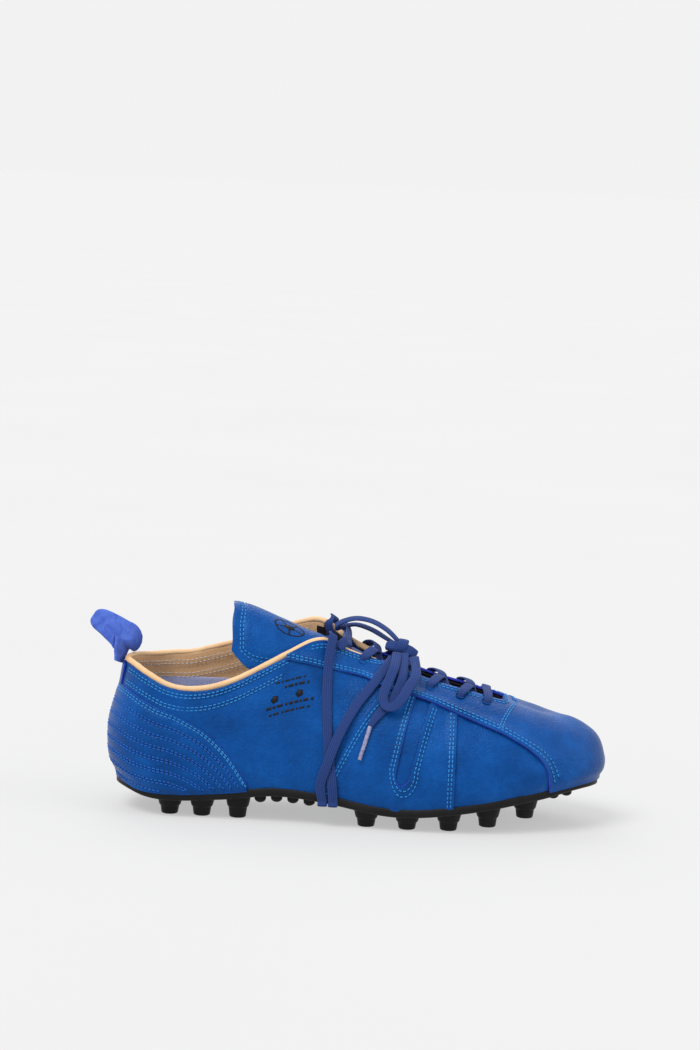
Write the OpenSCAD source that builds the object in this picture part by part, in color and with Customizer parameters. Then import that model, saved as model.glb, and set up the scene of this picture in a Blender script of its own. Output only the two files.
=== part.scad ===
// Soccer cleat for the right foot: moulded stud sole, stitched leather upper, crossed and wrapped flat lace.
// Origin: on the ground, at the middle of the box that holds the shoe and its heel tab.
// +X points to the toe, -Y to the outer (lateral) side and +Z up.

/* [Overall] */
// Length of the upper, heel bulge to toe
shoe_l = 285; // [250:1:320]
// Width of the upper's base across the ball
ball_w = 94; // [82:1:108]
// Width of the upper's base across the heel
heel_w = 66; // [58:1:76]
// Height of the heel rim above the ground
heel_h = 88; // [80:1:100]
// Height of the lowest point of the outer collar
collar_h = 76; // [70:1:86]
// Height of the instep where the facings begin
instep_h = 107; // [98:1:122]
// Height of the toe box above the ground
toe_h = 62; // [56:1:74]

/* [Sole] */
// Height of the plate's upper edge above the ground at the ball
plate_h = 13.5; // [11:0.5:17]
// Depth of the plate's rim
rim_h = 5; // [4:0.5:7]
// Thickness of the plate inside its rim
plate_t = 3.8; // [3:0.1:4]
// How far the rim stands out past the upper
rim_lip = 2; // [1:0.1:3.5]
// Radius of a large stud where it leaves the plate
stud_r = 8; // [6:0.1:9]
// Radius of a large stud's ground face
stud_tip_r = 4.8; // [3:0.1:5.5]
// Radius of a small nub
nub_r = 3.3; // [2:0.1:4]
// How far a nub hangs below the plate
nub_h = 6.2; // [3:0.1:8]
// How deep a stud's or a nub's root runs into the plate
root_t = 1.5; // [1:0.1:2]

/* [Upper] */
// Thickness of the upper leather
leather_t = 1.4; // [1:0.1:1.8]
// Thickness of the lining
lining_t = 1.1; // [0.8:0.1:1.4]
// Thickness of the toe puff, heel counter and facing backing
stiffener_t = 1.1; // [0.8:0.1:1.4]
// Radius of the rolled collar edge
binding_r = 1.9; // [1.4:0.1:2.2]
// Glue line between layers
glue_gap = 0.3; // [0.2:0.05:0.4]
// Gap between panels sewn edge to edge, as a share of the wall's height
seam_gap = 0.006; // [0.004:0.001:0.012]
// Radius of a punched lace hole
eyelet_r = 2.6; // [2.2:0.1:3]
// Thickness of the tongue leather
tongue_t = 1.4; // [1:0.1:2]
// Depth of the tongue below the facings
tongue_drop = 5.2; // [5:0.1:7]

/* [Inside] */
// Thickness of the shank and the sole filler
shank_t = 1.1; // [0.8:0.1:1.6]
// Thickness of the lasting board
board_t = 1.8; // [1.4:0.1:2.4]
// Thickness of the sock liner
insole_t = 3.4; // [2.5:0.1:5]

/* [Heel tab] */
// How far the pull tab stands out behind the heel
tab_reach = 14.5; // [12:0.5:18]
// Width of the pull tab
tab_w = 17.5; // [14:0.5:20]
// Thickness of the pull tab's band
tab_t = 1.5; // [1.2:0.1:2]

/* [Lace] */
// Width of the flat lace
lace_w = 5.6; // [5:0.1:6.5]
// Thickness of the flat lace
lace_t = 1.4; // [1:0.1:1.6]
// Radius of an aglet
aglet_r = 1.2; // [1:0.1:1.5]

/* [Hidden] */
$fn = 40;

heel_x = (tab_reach - shoe_l) / 2;
half_ball = ball_w / 2;
half_heel = heel_w / 2;

// Small maths
function mix(a, b, f) = a + (b - a) * f;
function ease(f) = let (c = min(1, max(0, f))) c * c * (3 - 2 * c);
// Smooth curve through a table of [place, value] rows
function slope(tab, i) = i == 0 || i == len(tab) - 1 ? 0
    : (tab[i + 1][1] - tab[i - 1][1]) / (tab[i + 1][0] - tab[i - 1][0]);
function row(tab, s, i = 0) = i >= len(tab) - 2 || s < tab[i + 1][0] ? i : row(tab, s, i + 1);
function curve(tab, s) = let (i = row(tab, s), h = tab[i + 1][0] - tab[i][0],
    f = min(1, max(0, (s - tab[i][0]) / h)), f2 = f * f, f3 = f2 * f)
    tab[i][1] * (2 * f3 - 3 * f2 + 1) + slope(tab, i) * h * (f3 - 2 * f2 + f)
    + tab[i + 1][1] * (3 * f2 - 2 * f3) + slope(tab, i + 1) * h * (f3 - f2);
function unit(a) = a / max(norm(a), 1e-9);

// The foot shape: s runs from heel (0) to toe (1), v from sole (0) to top line or ridge (1)
// Rise of the plate's edge over its height at the ball
rocker = [[0, 6.5], [0.06, 2.5], [0.14, 1.5], [0.24, 3.5], [0.34, 7], [0.44, 5], [0.56, 0], [0.64, 0.5],
    [0.76, 5.5], [0.88, 11.5], [1, 16.5]];
function sole_z(s) = plate_h + curve(rocker, s);
// Height of the outer and inner top lines: the collar behind the instep, the ridge in front of it
lateral_top = [[0, heel_h], [0.05, mix(collar_h, heel_h, 0.6)], [0.1, collar_h + 2], [0.15, collar_h],
    [0.2, collar_h + 1.5], [0.25, collar_h + 6.5], [0.3, mix(collar_h, instep_h, 0.45)],
    [0.35, mix(collar_h, instep_h, 0.71)], [0.4, instep_h - 1.5], [0.425, instep_h], [0.45, instep_h - 1],
    [0.5, instep_h - 6.5], [0.55, mix(toe_h, instep_h, 0.7)], [0.6, mix(toe_h, instep_h, 0.58)],
    [0.65, mix(toe_h, instep_h, 0.47)], [0.7, mix(toe_h, instep_h, 0.38)], [0.75, mix(toe_h, instep_h, 0.3)],
    [0.8, mix(toe_h, instep_h, 0.24)], [0.9, mix(toe_h, instep_h, 0.12)], [1, toe_h]];
// The inner collar stands higher than the outer one by this much
medial_rise = [[0, 0], [0.05, 4], [0.1, 10], [0.15, 13], [0.2, 15], [0.25, 14], [0.3, 11], [0.35, 9],
    [0.42, 4], [0.5, 1], [0.56, 0], [1, 0]];
function top_z(s, side) = curve(lateral_top, s) + (side > 0 ? curve(medial_rise, s) : 0);
// Half widths of the base before its ends are rounded, as shares of the ball and heel half widths
lateral_base = [[0, half_heel], [0.1, half_heel], [0.25, half_heel * 1.04], [0.4, half_ball * 0.82],
    [0.55, half_ball * 0.96], [0.66, half_ball * 1.02], [0.78, half_ball * 1.01], [0.9, half_ball * 0.97],
    [1, half_ball * 0.92]];
medial_base = [[0, half_heel], [0.1, half_heel], [0.25, half_heel * 0.92], [0.4, half_ball * 0.68],
    [0.55, half_ball * 0.86], [0.66, half_ball * 0.98], [0.78, half_ball * 1.04], [0.9, half_ball * 1.04],
    [1, half_ball]];
heel_round = 0.12;
toe_round = 0.3;
function round_end(f) = f >= 1 ? 1 : sqrt(max(0, 1 - (1 - f) * (1 - f)));
function ends(s) = round_end(s / heel_round) * round_end((1 - s) / toe_round);
function base_w(s, side) = curve(side > 0 ? medial_base : lateral_base, s);
// Half width of the collar opening
collar_half = half_heel * 0.84;
opening = [[0, collar_half], [0.2, collar_half * 1.03], [0.3, collar_half * 1.01], [0.42, collar_half * 0.93],
    [1, collar_half * 0.93]];
// Set-back of the heel and of the toe at each height
heel_back = [[0, 5.5], [0.15, 1.2], [0.38, 0], [0.5, 1], [0.62, 3], [0.77, 5.6], [0.9, 7], [1, 8]];
toe_back = [[0, 3.5], [0.08, 1], [0.18, 0], [0.36, 2], [0.48, 5], [0.6, 10], [0.8, 19], [1, 28]];
heel_reach = 0.2;
toe_reach = 0.7;
bulge_w = 3.2;
// Share of the domed forefoot shape, against the open collar shape
function dome(s) = ease((s - 0.4) / 0.16);
function rise(s, v) = mix(v, pow(sin(90 * v), 0.95), dome(s));
function half_w(s, v, side) = let (b = base_w(s, side), swell = bulge_w * sin(180 * pow(v, 0.6)))
    mix(mix(b, curve(opening, s), pow(v, 1.4)) + swell * 0.8,
        (b + swell) * pow(max(0, cos(90 * v)), 0.85), dome(s)) * ends(s);
function wrap(t) = t > 1 ? t - 2 : t < -1 ? t + 2 : t;
// A point of the surface: t is 0 at the heel, 1 at the toe, above 0 on the inner side, below 0 on the outer
function at(t, v) = let (w = wrap(t), side = w < 0 ? -1 : 1, s = (1 - cos(180 * w)) / 2)
    [heel_x + shoe_l * s + curve(heel_back, v) * (1 - ease(s / heel_reach))
        - curve(toe_back, v) * ease((s - toe_reach) / (1 - toe_reach)),
     side * half_w(s, v, side), mix(sole_z(s), top_z(s, side), rise(s, v))];
function place(s, side) = side * acos(1 - 2 * s) / 180;
function share(t) = (1 - cos(180 * wrap(t))) / 2;
// The wall's lowest band takes its direction from just above it
normal_foot = 0.08;
foot_v = 0.016;
step = 0.006;
function normal(t, v) = let (w = max(normal_foot, min(v, 0.985))) unit(cross(at(t - step, w) - at(t + step, w),
    at(t, w + step) - at(t, max(0, w - step))));
function skin(t, v, off) = at(t, v) + off * normal(t, v);

// A sheet of leather on the foot shape
// cols: list of t; lo and hi: v as functions of t; inner and outer: distances from the foot shape.
// joined(s): true where the two sides meet over the ridge as one piece.
module sheet(cols, rows, lo, hi, inner, outer, joined = function (s) false) {
    n = len(cols) - 1;
    per = rows + 1;
    layer = len(cols) * per;
    function met(i) = joined(share(cols[i]));
    function id(k, i, j) = k * layer + (j == rows && met(i) && i > n / 2 ? n - i : i) * per + j;
    pts = [for (off = [outer, inner], i = [0:n], j = [0:rows])
        skin(cols[i], mix(lo(cols[i]), hi(cols[i]), j / rows), off)];
    function two(a, b, c, d) = [[a, b, c], [a, c, d]];
    faces = [
        for (i = [0:n - 1], j = [0:rows - 1]) each
            two(id(0, i, j), id(0, i + 1, j), id(0, i + 1, j + 1), id(0, i, j + 1)),
        for (i = [0:n - 1], j = [0:rows - 1]) each
            two(id(1, i, j), id(1, i, j + 1), id(1, i + 1, j + 1), id(1, i + 1, j)),
        for (i = [0:n - 1]) each two(id(0, i, 0), id(1, i, 0), id(1, i + 1, 0), id(0, i + 1, 0)),
        for (i = [0:n - 1]) if (!(met(i) && met(i + 1))) each
            two(id(0, i, rows), id(0, i + 1, rows), id(1, i + 1, rows), id(1, i, rows)),
        for (j = [0:rows - 1]) each two(id(0, 0, j), id(0, 0, j + 1), id(1, 0, j + 1), id(1, 0, j)),
        for (j = [0:rows - 1]) each two(id(0, n, j), id(1, n, j), id(1, n, j + 1), id(0, n, j + 1))
    ];
    polyhedron(pts, faces, convexity = 10);
}
// A sheet with slanting ends: left(q) and right(q) are the s of its ends at height share q
module leaning_sheet(side, left, right, cols, rows, lo, hi, inner, outer) {
    per = rows + 1;
    layer = (cols + 1) * per;
    a = side > 0 ? left : right;
    b = side > 0 ? right : left;
    function id(k, i, j) = k * layer + i * per + j;
    pts = [for (off = [outer, inner], i = [0:cols], j = [0:rows])
        let (q = j / rows, t = mix(place(a(q), side), place(b(q), side), i / cols), s = share(t))
            skin(t, mix(lo(s), hi(s), q), off)];
    function two(a, b, c, d) = [[a, b, c], [a, c, d]];
    faces = [
        for (i = [0:cols - 1], j = [0:rows - 1]) each
            two(id(0, i, j), id(0, i + 1, j), id(0, i + 1, j + 1), id(0, i, j + 1)),
        for (i = [0:cols - 1], j = [0:rows - 1]) each
            two(id(1, i, j), id(1, i, j + 1), id(1, i + 1, j + 1), id(1, i + 1, j)),
        for (i = [0:cols - 1]) each two(id(0, i, 0), id(1, i, 0), id(1, i + 1, 0), id(0, i + 1, 0)),
        for (i = [0:cols - 1]) each
            two(id(0, i, rows), id(0, i + 1, rows), id(1, i + 1, rows), id(1, i, rows)),
        for (j = [0:rows - 1]) each two(id(0, 0, j), id(0, 0, j + 1), id(1, 0, j + 1), id(1, 0, j)),
        for (j = [0:rows - 1]) each
            two(id(0, cols, j), id(1, cols, j), id(1, cols, j + 1), id(0, cols, j + 1))
    ];
    polyhedron(pts, faces, convexity = 10);
}
function spread(a, b, n) = [for (i = [0:n]) mix(a, b, i / n)];

// A flat layer on the sole, s from s0 to s1, inset from the base outline
module layer(s0, s1, n, across, inset, low, high) {
    edge = function (s, side) max(0.2, base_w(s, side) * ends(s) - inset);
    cols = [for (i = [0:n]) share(mix(place(s0, 1), place(s1, 1), i / n))];
    function x_at(s) = let (p = at(place(s, 1), 0)) p[0];
    function y_at(s, r) = r < 0 ? r * edge(s, -1) : r * edge(s, 1);
    per = across + 1;
    half = (n + 1) * per;
    pts = [for (k = [0, 1], i = [0:n], j = [0:across]) let (s = cols[i], r = 2 * j / across - 1)
        [x_at(s), y_at(s, r), sole_z(s) + (k == 0 ? high(r) : low(r))]];
    function id(k, i, j) = k * half + i * per + j;
    function two(a, b, c, d) = [[a, b, c], [a, c, d]];
    faces = [
        for (i = [0:n - 1], j = [0:across - 1]) each
            two(id(0, i, j), id(0, i, j + 1), id(0, i + 1, j + 1), id(0, i + 1, j)),
        for (i = [0:n - 1], j = [0:across - 1]) each
            two(id(1, i, j), id(1, i + 1, j), id(1, i + 1, j + 1), id(1, i, j + 1)),
        for (i = [0:n - 1]) each two(id(0, i, 0), id(0, i + 1, 0), id(1, i + 1, 0), id(1, i, 0)),
        for (i = [0:n - 1]) each
            two(id(0, i, across), id(1, i, across), id(1, i + 1, across), id(0, i + 1, across)),
        for (j = [0:across - 1]) each two(id(0, 0, j), id(1, 0, j), id(1, 0, j + 1), id(0, 0, j + 1)),
        for (j = [0:across - 1]) each two(id(0, n, j), id(0, n, j + 1), id(1, n, j + 1), id(1, n, j))
    ];
    polyhedron(pts, faces, convexity = 6);
}

// A flat or round strand swept along its route
// Route rows: [point, normal, width, thickness]
module strand(route, sides = 8, tight = 0.55) {
    n = len(route) - 1;
    function along(i) = unit(route[min(n, i + 1)][0] - route[max(0, i - 1)][0]);
    function ring(i) = let (t = along(i), b = unit(cross(route[i][1], t)), u = cross(t, b))
        [for (k = [0:sides - 1]) let (a = 360 * (k + 0.5) / sides, c = cos(a), d = sin(a))
            route[i][0] + b * route[i][2] / 2 * sign(c) * pow(abs(c), tight)
                + u * route[i][3] / 2 * sign(d) * pow(abs(d), tight)];
    pts = [for (i = [0:n]) each ring(i)];
    faces = [
        for (k = [1:sides - 2]) [0, k, k + 1],
        for (k = [1:sides - 2]) [n * sides, n * sides + k + 1, n * sides + k],
        for (i = [0:n - 1], k = [0:sides - 1]) let (a = i * sides + k, b = i * sides + (k + 1) % sides)
            each [[a, a + sides, b + sides], [a, b + sides, b]]
    ];
    polyhedron(pts, faces, convexity = 8);
}
// Smooth run through the rows of a route
function pass(a, b, c, d, f) = let (f2 = f * f, f3 = f2 * f)
    0.5 * ((2 * b) + (c - a) * f + (2 * a - 5 * b + 4 * c - d) * f2 + (3 * b - a - 3 * c + d) * f3);
function smooth_run(rows, per) = let (n = len(rows) - 1)
    [for (i = [0:n - 1], k = [0:per - 1]) let (a = rows[max(0, i - 1)], b = rows[i], c = rows[i + 1],
        d = rows[min(n, i + 2)], f = k / per)
        [pass(a[0], b[0], c[0], d[0], f), unit(mix(b[1], c[1], f)), mix(b[2], c[2], f), mix(b[3], c[3], f)],
     rows[n]];
// A row on the foot shape: side and s, v, distance from it, and how much of the width is kept
function on(side, s, v, off, keep = 1) = let (t = place(s, side), w = min(v, 1))
    [skin(t, w, off), normal(t, w), lace_w * keep, lace_t / keep];
// A row in space
function free(p, up, keep = 1) = [[p[0] + heel_x + shoe_l / 2, p[1], p[2]], unit(up), lace_w * keep, lace_t / keep];

// Seam lines, as v over s
facing_edge = [[0.36, 1], [0.42, 1], [0.45, 0.965], [0.5, 0.885], [0.55, 0.85], [0.6, 0.845], [0.7, 0.855],
    [0.8, 0.875], [0.83, 0.9]];
vamp_seam = [[0.35, 0.93], [0.38, 0.87], [0.42, 0.8], [0.46, 0.74], [0.5, 0.675], [0.55, 0.6], [0.6, 0.61],
    [0.65, 0.6], [0.7, 0.56], [0.75, 0.51], [0.8, 0.44], [0.85, 0.32], [0.875, 0.2], [0.893, 0.02],
    [0.895, 0]];
overlay_edge = [[0, 0.76], [0.08, 0.74], [0.13, 0.715], [0.18, 0.61], [0.215, 0.47], [0.245, 0.31],
    [0.27, 0.14], [0.29, 0.02]];
throat_end = 0.83;
// Columns of every layer from the throat's end to the toe
toe_cols = 14;
// The toe puff starts at this column
puff_start = 3;
lining_split = 0.4275;
facing_back = 0.36;
panel_seam = 0.697;
counter_front = 0.22;
counter_top = 0.6;
binding_end = 0.53;
eyelet_places = [[0.445, 0.9], [0.503, 0.8], [0.567, 0.745], [0.64, 0.74], [0.703, 0.745], [0.763, 0.755]];
function wall_h(s) = top_z(s, -1) - sole_z(s);
function rim_v(s) = curve(facing_edge, s) - binding_r / wall_h(s);
function under_rim(s) = curve(facing_edge, s)
    - (s < binding_end + 0.04 ? 2 * binding_r + 0.4 : 0.3) / wall_h(s);
function waist_seam(q) = mix(0.43, 0.56, q);
function window_mid(q) = mix(0.582, 0.63, q);
window_half = 0.0155;
window_foot = 0.11;
function window_side(q, dir, gap) = window_mid(q)
    + dir * (window_half - gap) * max(0.2, round_end(q / 0.13));

// layers, as distances from the foot shape
leather_in = glue_gap;
leather_out = glue_gap + leather_t;
cover_in = leather_out + glue_gap;
cover_out = cover_in + leather_t;
stiff_out = -glue_gap;
stiff_in = stiff_out - stiffener_t;
lining_out = stiff_in - glue_gap;
lining_in = lining_out - lining_t;

// The sole
rim_share = 0.84;
module outsole() {
    color("#1f1d1e") layer(0.0006, 0.9994, 34, 12, -rim_lip,
        function (r) abs(r) > rim_share ? -rim_h : -plate_t, function (r) -0.05);
}
// A stud: [s, share of the half width, height of its ground face]
heel_stud_places = [[0.12, 0.62], [0.192, 0.66], [0.265, 0.68]];
lateral_studs = [[0.525, 0.76, 0], [0.607, 0.78, 0], [0.69, 0.78, 0.5], [0.77, 0.76, 3], [0.85, 0.68, 7.5]];
medial_studs = [[0.545, 0.74, 0], [0.63, 0.76, 0], [0.715, 0.78, 1], [0.8, 0.76, 4.5], [0.872, 0.66, 9]];
module stud(s, y, ground) {
    top = sole_z(s) - plate_t + root_t;
    h = sole_z(s) - plate_t - ground;
    shoulder = ground + h * 0.42;
    p = at(place(s, 1), 0);
    edge_r = 0.6;
    translate([p[0], y, 0]) rotate_extrude() polygon([[0, ground], [stud_tip_r - edge_r, ground],
        [stud_tip_r, ground + edge_r], [stud_tip_r + 0.7, shoulder], [stud_tip_r + 1.2, shoulder + edge_r],
        [stud_r, sole_z(s) - plate_t - edge_r], [stud_r, top], [0, top]]);
}
module stud_row(rows, side) {
    for (r = rows) stud(r[0], side * r[1] * base_w(r[0], side) * ends(r[0]), len(r) > 2 ? r[2] : 0);
}
module heel_studs() {
    color("#242223") {
        stud_row(heel_stud_places, -1);
        stud_row(heel_stud_places, 1);
    }
}
module forefoot_studs() {
    color("#242223") {
        stud_row(lateral_studs, -1);
        stud_row(medial_studs, 1);
    }
}
// Nubs: [s, share of the half width]
nub_places = [[0.31, 0.78], [0.343, 0.78], [0.376, 0.78], [0.409, 0.78], [0.912, 0.5], [0.94, 0.52]];
module nub(s, y) {
    p = at(place(s, 1), 0);
    low = sole_z(s) - plate_t - nub_h;
    translate([p[0], y, low]) rotate_extrude() polygon(concat([[0, 0]],
        [for (a = [30:30:90]) [nub_r * sin(a), nub_r * 0.7 * (1 - cos(a))]],
        [[nub_r + 0.5, nub_h + root_t], [0, nub_h + root_t]]));
}
module sole_nubs() {
    color("#242223") for (side = [-1, 1], r = nub_places)
        nub(r[0], side * r[1] * base_w(r[0], side) * ends(r[0]));
}
shank_top = glue_gap + shank_t;
board_low = shank_top + glue_gap;
board_top = board_low + board_t;
insole_low = board_top + glue_gap;
board_inset = leather_t + lining_t + stiffener_t + 3.1;
module shank() {
    color("#9a9da1") layer(0.22, 0.52, 12, 2, half_heel * 0.62, function (r) glue_gap, function (r) shank_top);
}
module sole_filler() {
    color("#8a6b46") layer(0.54, 0.95, 14, 4, 9, function (r) glue_gap, function (r) shank_top);
}
module lasting_board() {
    color("#b59a6d") layer(0.006, 0.994, 26, 4, board_inset, function (r) board_low, function (r) board_top);
}
module insole() {
    color("#b9bde0") layer(0.006, 0.994, 24, 6, board_inset + 0.4, function (r) insole_low,
        function (r) insole_low + insole_t);
}

// The upper
function both(list) = concat(list, [for (i = [len(list) - 1:-1:0]) if (abs(list[i] - 1) > 1e-6) 2 - list[i]]);
module at_eyelets(side) {
    for (e = eyelet_places) {
        t = place(e[0], side);
        n = normal(t, e[1]);
        translate(skin(t, e[1], 0)) rotate([0, acos(n[2]), atan2(n[1], n[0])])
            cylinder(r = eyelet_r, h = 6, center = true);
    }
}
module vamp() {
    reach = place(throat_end, 1);
    cols = both(concat(spread(place(facing_back, 1), reach - 0.012, 13), spread(reach, 1, toe_cols)));
    color("#1d5bb4") difference() {
        sheet(cols, 10, function (t) max(foot_v, curve(vamp_seam, share(t)) + seam_gap),
            function (t) share(t) > throat_end - 0.001 ? 1 : under_rim(share(t)),
            leather_in, leather_out, function (s) s > throat_end - 0.001);
        at_eyelets(-1);
        at_eyelets(1);
    }
}
function under_rim_at(s) = 1 - (2 * binding_r + 0.4) / wall_h(s);
module quarter(side) {
    color("#1856ae") leaning_sheet(side, function (q) 0.00002, function (q) waist_seam(q) - seam_gap, 24, 9,
        function (s) foot_v, function (s) s < 0.345 ? under_rim_at(s) : curve(vamp_seam, s) - seam_gap,
        leather_in, leather_out);
}
module quarter_lateral() { quarter(-1); }
module quarter_medial() { quarter(1); }
module window_cut(side, gap, low, high, inner, outer) {
    leaning_sheet(side, function (q) window_side(q, -1, gap), function (q) window_side(q, 1, gap), 4, 12,
        function (s) window_foot + low, function (s) curve(vamp_seam, s) + high, inner, outer);
}
module side_panel(side) {
    color("#1a5ab3") difference() {
        leaning_sheet(side, function (q) waist_seam(q), function (q) panel_seam - seam_gap / 2, 10, 9,
            function (s) foot_v, function (s) curve(vamp_seam, s) - seam_gap, leather_in, leather_out);
        window_cut(side, 0, 0, 0.03, leather_in - 1, leather_out + 1);
    }
}
module side_panel_lateral() { side_panel(-1); }
module side_panel_medial() { side_panel(1); }
module window_backing(side) {
    color("#174f9f") window_cut(side, seam_gap * 0.6, seam_gap * 4, -seam_gap, leather_in, leather_out - 0.5);
}
module window_backing_lateral() { window_backing(-1); }
module window_backing_medial() { window_backing(1); }
module front_panel(side) {
    a = place(panel_seam + seam_gap / 2, side);
    b = place(0.886, side);
    color("#1a5ab3") sheet(side > 0 ? spread(a, b, 10) : spread(b, a, 10), 8, function (t) foot_v,
        function (t) curve(vamp_seam, share(t)) - seam_gap, leather_in, leather_out);
}
module front_panel_lateral() { front_panel(-1); }
module front_panel_medial() { front_panel(1); }
module heel_overlay() {
    reach = place(0.28, 1);
    color("#1552aa") sheet(spread(-reach, reach, 32), 6, function (t) foot_v,
        function (t) max(foot_v + 0.01, curve(overlay_edge, share(t))), cover_in, cover_out);
}
strip_half = 0.047;
module back_strip() {
    color("#1a56b0") sheet(spread(-strip_half, strip_half, 6), 3,
        function (t) curve(overlay_edge, share(t)) + seam_gap,
        function (t) tab_foot_v - 0.03, cover_in, cover_out);
}
module collar_binding() {
    a = place(binding_end, -1);
    b = place(binding_end, 1);
    n = 44;
    color("#d9b98c") strand([for (i = [0:n]) let (t = mix(a, b, i / n), s = share(t), v = rim_v(s))
        [skin(t, v, -0.1), normal(t, v), 2 * binding_r, 2 * binding_r]], 10, 1);
}
module collar_lining() {
    reach = place(lining_split - 0.0025, 1);
    color("#cda875") sheet(spread(-reach, reach, 34), 5, function (t) foot_v, function (t) under_rim_at(share(t)),
        lining_in, lining_out);
}
module forefoot_lining() {
    reach = place(throat_end, 1);
    cols = both(concat(spread(place(lining_split, 1), reach - 0.012, 9), spread(reach, 1, toe_cols)));
    color("#2b2a33") sheet(cols, 7, function (t) foot_v,
        function (t) share(t) > throat_end - 0.001 ? 1 : curve(facing_edge, share(t)) - 0.215,
        lining_in, lining_out, function (s) s > throat_end - 0.001);
}
module facing_backing(side) {
    a = place(facing_back + 0.01, side);
    b = place(throat_end - 0.01, side);
    color("#232229") difference() {
        sheet(side > 0 ? spread(a, b, 14) : spread(b, a, 14), 4,
            function (t) curve(facing_edge, share(t)) - 0.2, function (t) under_rim(share(t)) - 0.004,
            stiff_in, stiff_out);
        at_eyelets(side);
    }
}
module facing_backing_lateral() { facing_backing(-1); }
module facing_backing_medial() { facing_backing(1); }
module toe_puff() {
    reach = place(throat_end, 1);
    cols = both(spread(mix(reach, 1, puff_start / toe_cols), 1, toe_cols - puff_start));
    color("#d8d2c4") sheet(cols, 10, function (t) foot_v, function (t) 1, stiff_in, stiff_out, function (s) true);
}
module heel_counter() {
    reach = place(counter_front, 1);
    color("#d8d2c4") sheet(spread(-reach, reach, 28), 6, function (t) 0.03, function (t) counter_top,
        stiff_in, stiff_out);
}

// The tongue: an arch along the instep
tongue_rise = [[0.24, 15], [0.29, 11.5], [0.34, 6], [0.4, -0.5], [0.5, -9], [1, -9]];
tongue_half = [[0.24, 22], [0.29, 22], [0.34, 20.5], [0.4, 19.5], [0.465, 21], [0.525, 24], [0.58, 26],
    [0.65, 25], [0.725, 20], [0.81, 13]];
tongue_arch = [[0.24, 42], [0.29, 40], [0.34, 34], [0.4, 27], [0.465, 21], [0.525, 18], [0.58, 16],
    [0.65, 12], [0.725, 7], [0.81, 3]];
tongue_back = 0.24;
tongue_root = 0.81;
function tongue_z(s) = mix(instep_h + curve(tongue_rise, s), top_z(s, -1) - tongue_drop, ease((s - 0.4) / 0.1));
function tongue_x(s) = let (p = at(place(s, 1), 0.95)) p[0];
// A point of the tongue: s along the shoe, a round the arch, off above its lower face
function tongue_at(s, a, off) = let (w = curve(tongue_half, s), d = curve(tongue_arch, s))
    [tongue_x(s), (w + off) * sin(a), tongue_z(s) - tongue_t - d + (d + off) * cos(a)];
module tongue_sheet(low, high, s0, s1, n, across, spread_a) {
    per = across + 1;
    half = (n + 1) * per;
    pts = [for (k = [0, 1], i = [0:n], j = [0:across])
        let (s = mix(s0, s1, i / n), round_in = spread_a - 14 * pow(max(0, 1 - i / 2), 2))
        tongue_at(s, round_in * (2 * j / across - 1), k == 0 ? high : low)];
    function id(k, i, j) = k * half + i * per + j;
    function two(a, b, c, d) = [[a, b, c], [a, c, d]];
    faces = [
        for (i = [0:n - 1], j = [0:across - 1]) each
            two(id(0, i, j), id(0, i, j + 1), id(0, i + 1, j + 1), id(0, i + 1, j)),
        for (i = [0:n - 1], j = [0:across - 1]) each
            two(id(1, i, j), id(1, i + 1, j), id(1, i + 1, j + 1), id(1, i, j + 1)),
        for (i = [0:n - 1]) each two(id(0, i, 0), id(0, i + 1, 0), id(1, i + 1, 0), id(1, i, 0)),
        for (i = [0:n - 1]) each
            two(id(0, i, across), id(1, i, across), id(1, i + 1, across), id(0, i + 1, across)),
        for (j = [0:across - 1]) each two(id(0, 0, j), id(1, 0, j), id(1, 0, j + 1), id(0, 0, j + 1)),
        for (j = [0:across - 1]) each two(id(0, n, j), id(0, n, j + 1), id(1, n, j + 1), id(1, n, j))
    ];
    polyhedron(pts, faces, convexity = 6);
}
module tongue() {
    color("#1d5ab2") tongue_sheet(0, tongue_t, tongue_back, tongue_root, 20, 10, 80);
}
module tongue_lining() {
    color("#2b2a33") tongue_sheet(-lining_t - glue_gap, -glue_gap, tongue_back + 0.004, tongue_root - 0.01, 18, 8, 76);
}

// The pull tab: a folded band, across the heel at its foot and turned to the side at its tip
tab_gap = 0.4;
tab_foot_v = 0.93;
tab_foot = skin(0, tab_foot_v, max(leather_out, binding_r) + tab_gap + tab_t);
// The band's middle line: [back as a share of the reach, up, facing, width share]
tab_rows = [[0.1, 3, -1, [-1, 0.15, 0], 1.05], [0.08, 3.5, 1.2, [-1, 0.2, 0], 1.08], [0.04, 4, 4, [-1, 0.3, 0], 1.08],
    [-0.04, 4, 8, [-0.9, 0.45, 0.1], 1.08], [-0.17, 5, 12, [-0.5, 0.85, -0.15], 1.2],
    [0.08, 4.5, 15.5, [-0.3, 0.9, -0.35], 1.04], [0.58, 4.5, 20.5, [-0.2, 0.95, -0.3], 0.86],
    [0.94, 4, 23.5, [-0.15, 0.95, -0.25], 0.74], [1.12, 4, 25, [-0.15, 0.95, -0.25], 0.56],
    [1.2, 4, 25.7, [-0.15, 0.95, -0.25], 0.3]];
function tab_route() = [for (r = tab_rows)
    [tab_foot + [-r[0] * tab_reach, r[1], r[2]], unit(r[3]), tab_w * r[4], 2 * tab_t]];
module pull_tab() {
    color("#3455bd") strand(tab_route(), 10, 0.4);
}

// The lace
// In a hole the strand's face turns to the ridge (way 1) or away from it (way -1)
function in_hole(side, e, off, way) = let (t = place(e[0], side))
    [skin(t, e[1], off), way * unit(at(t, e[1] + step) - at(t, e[1] - step)), lace_w * 0.68, lace_t / 0.68];
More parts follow.
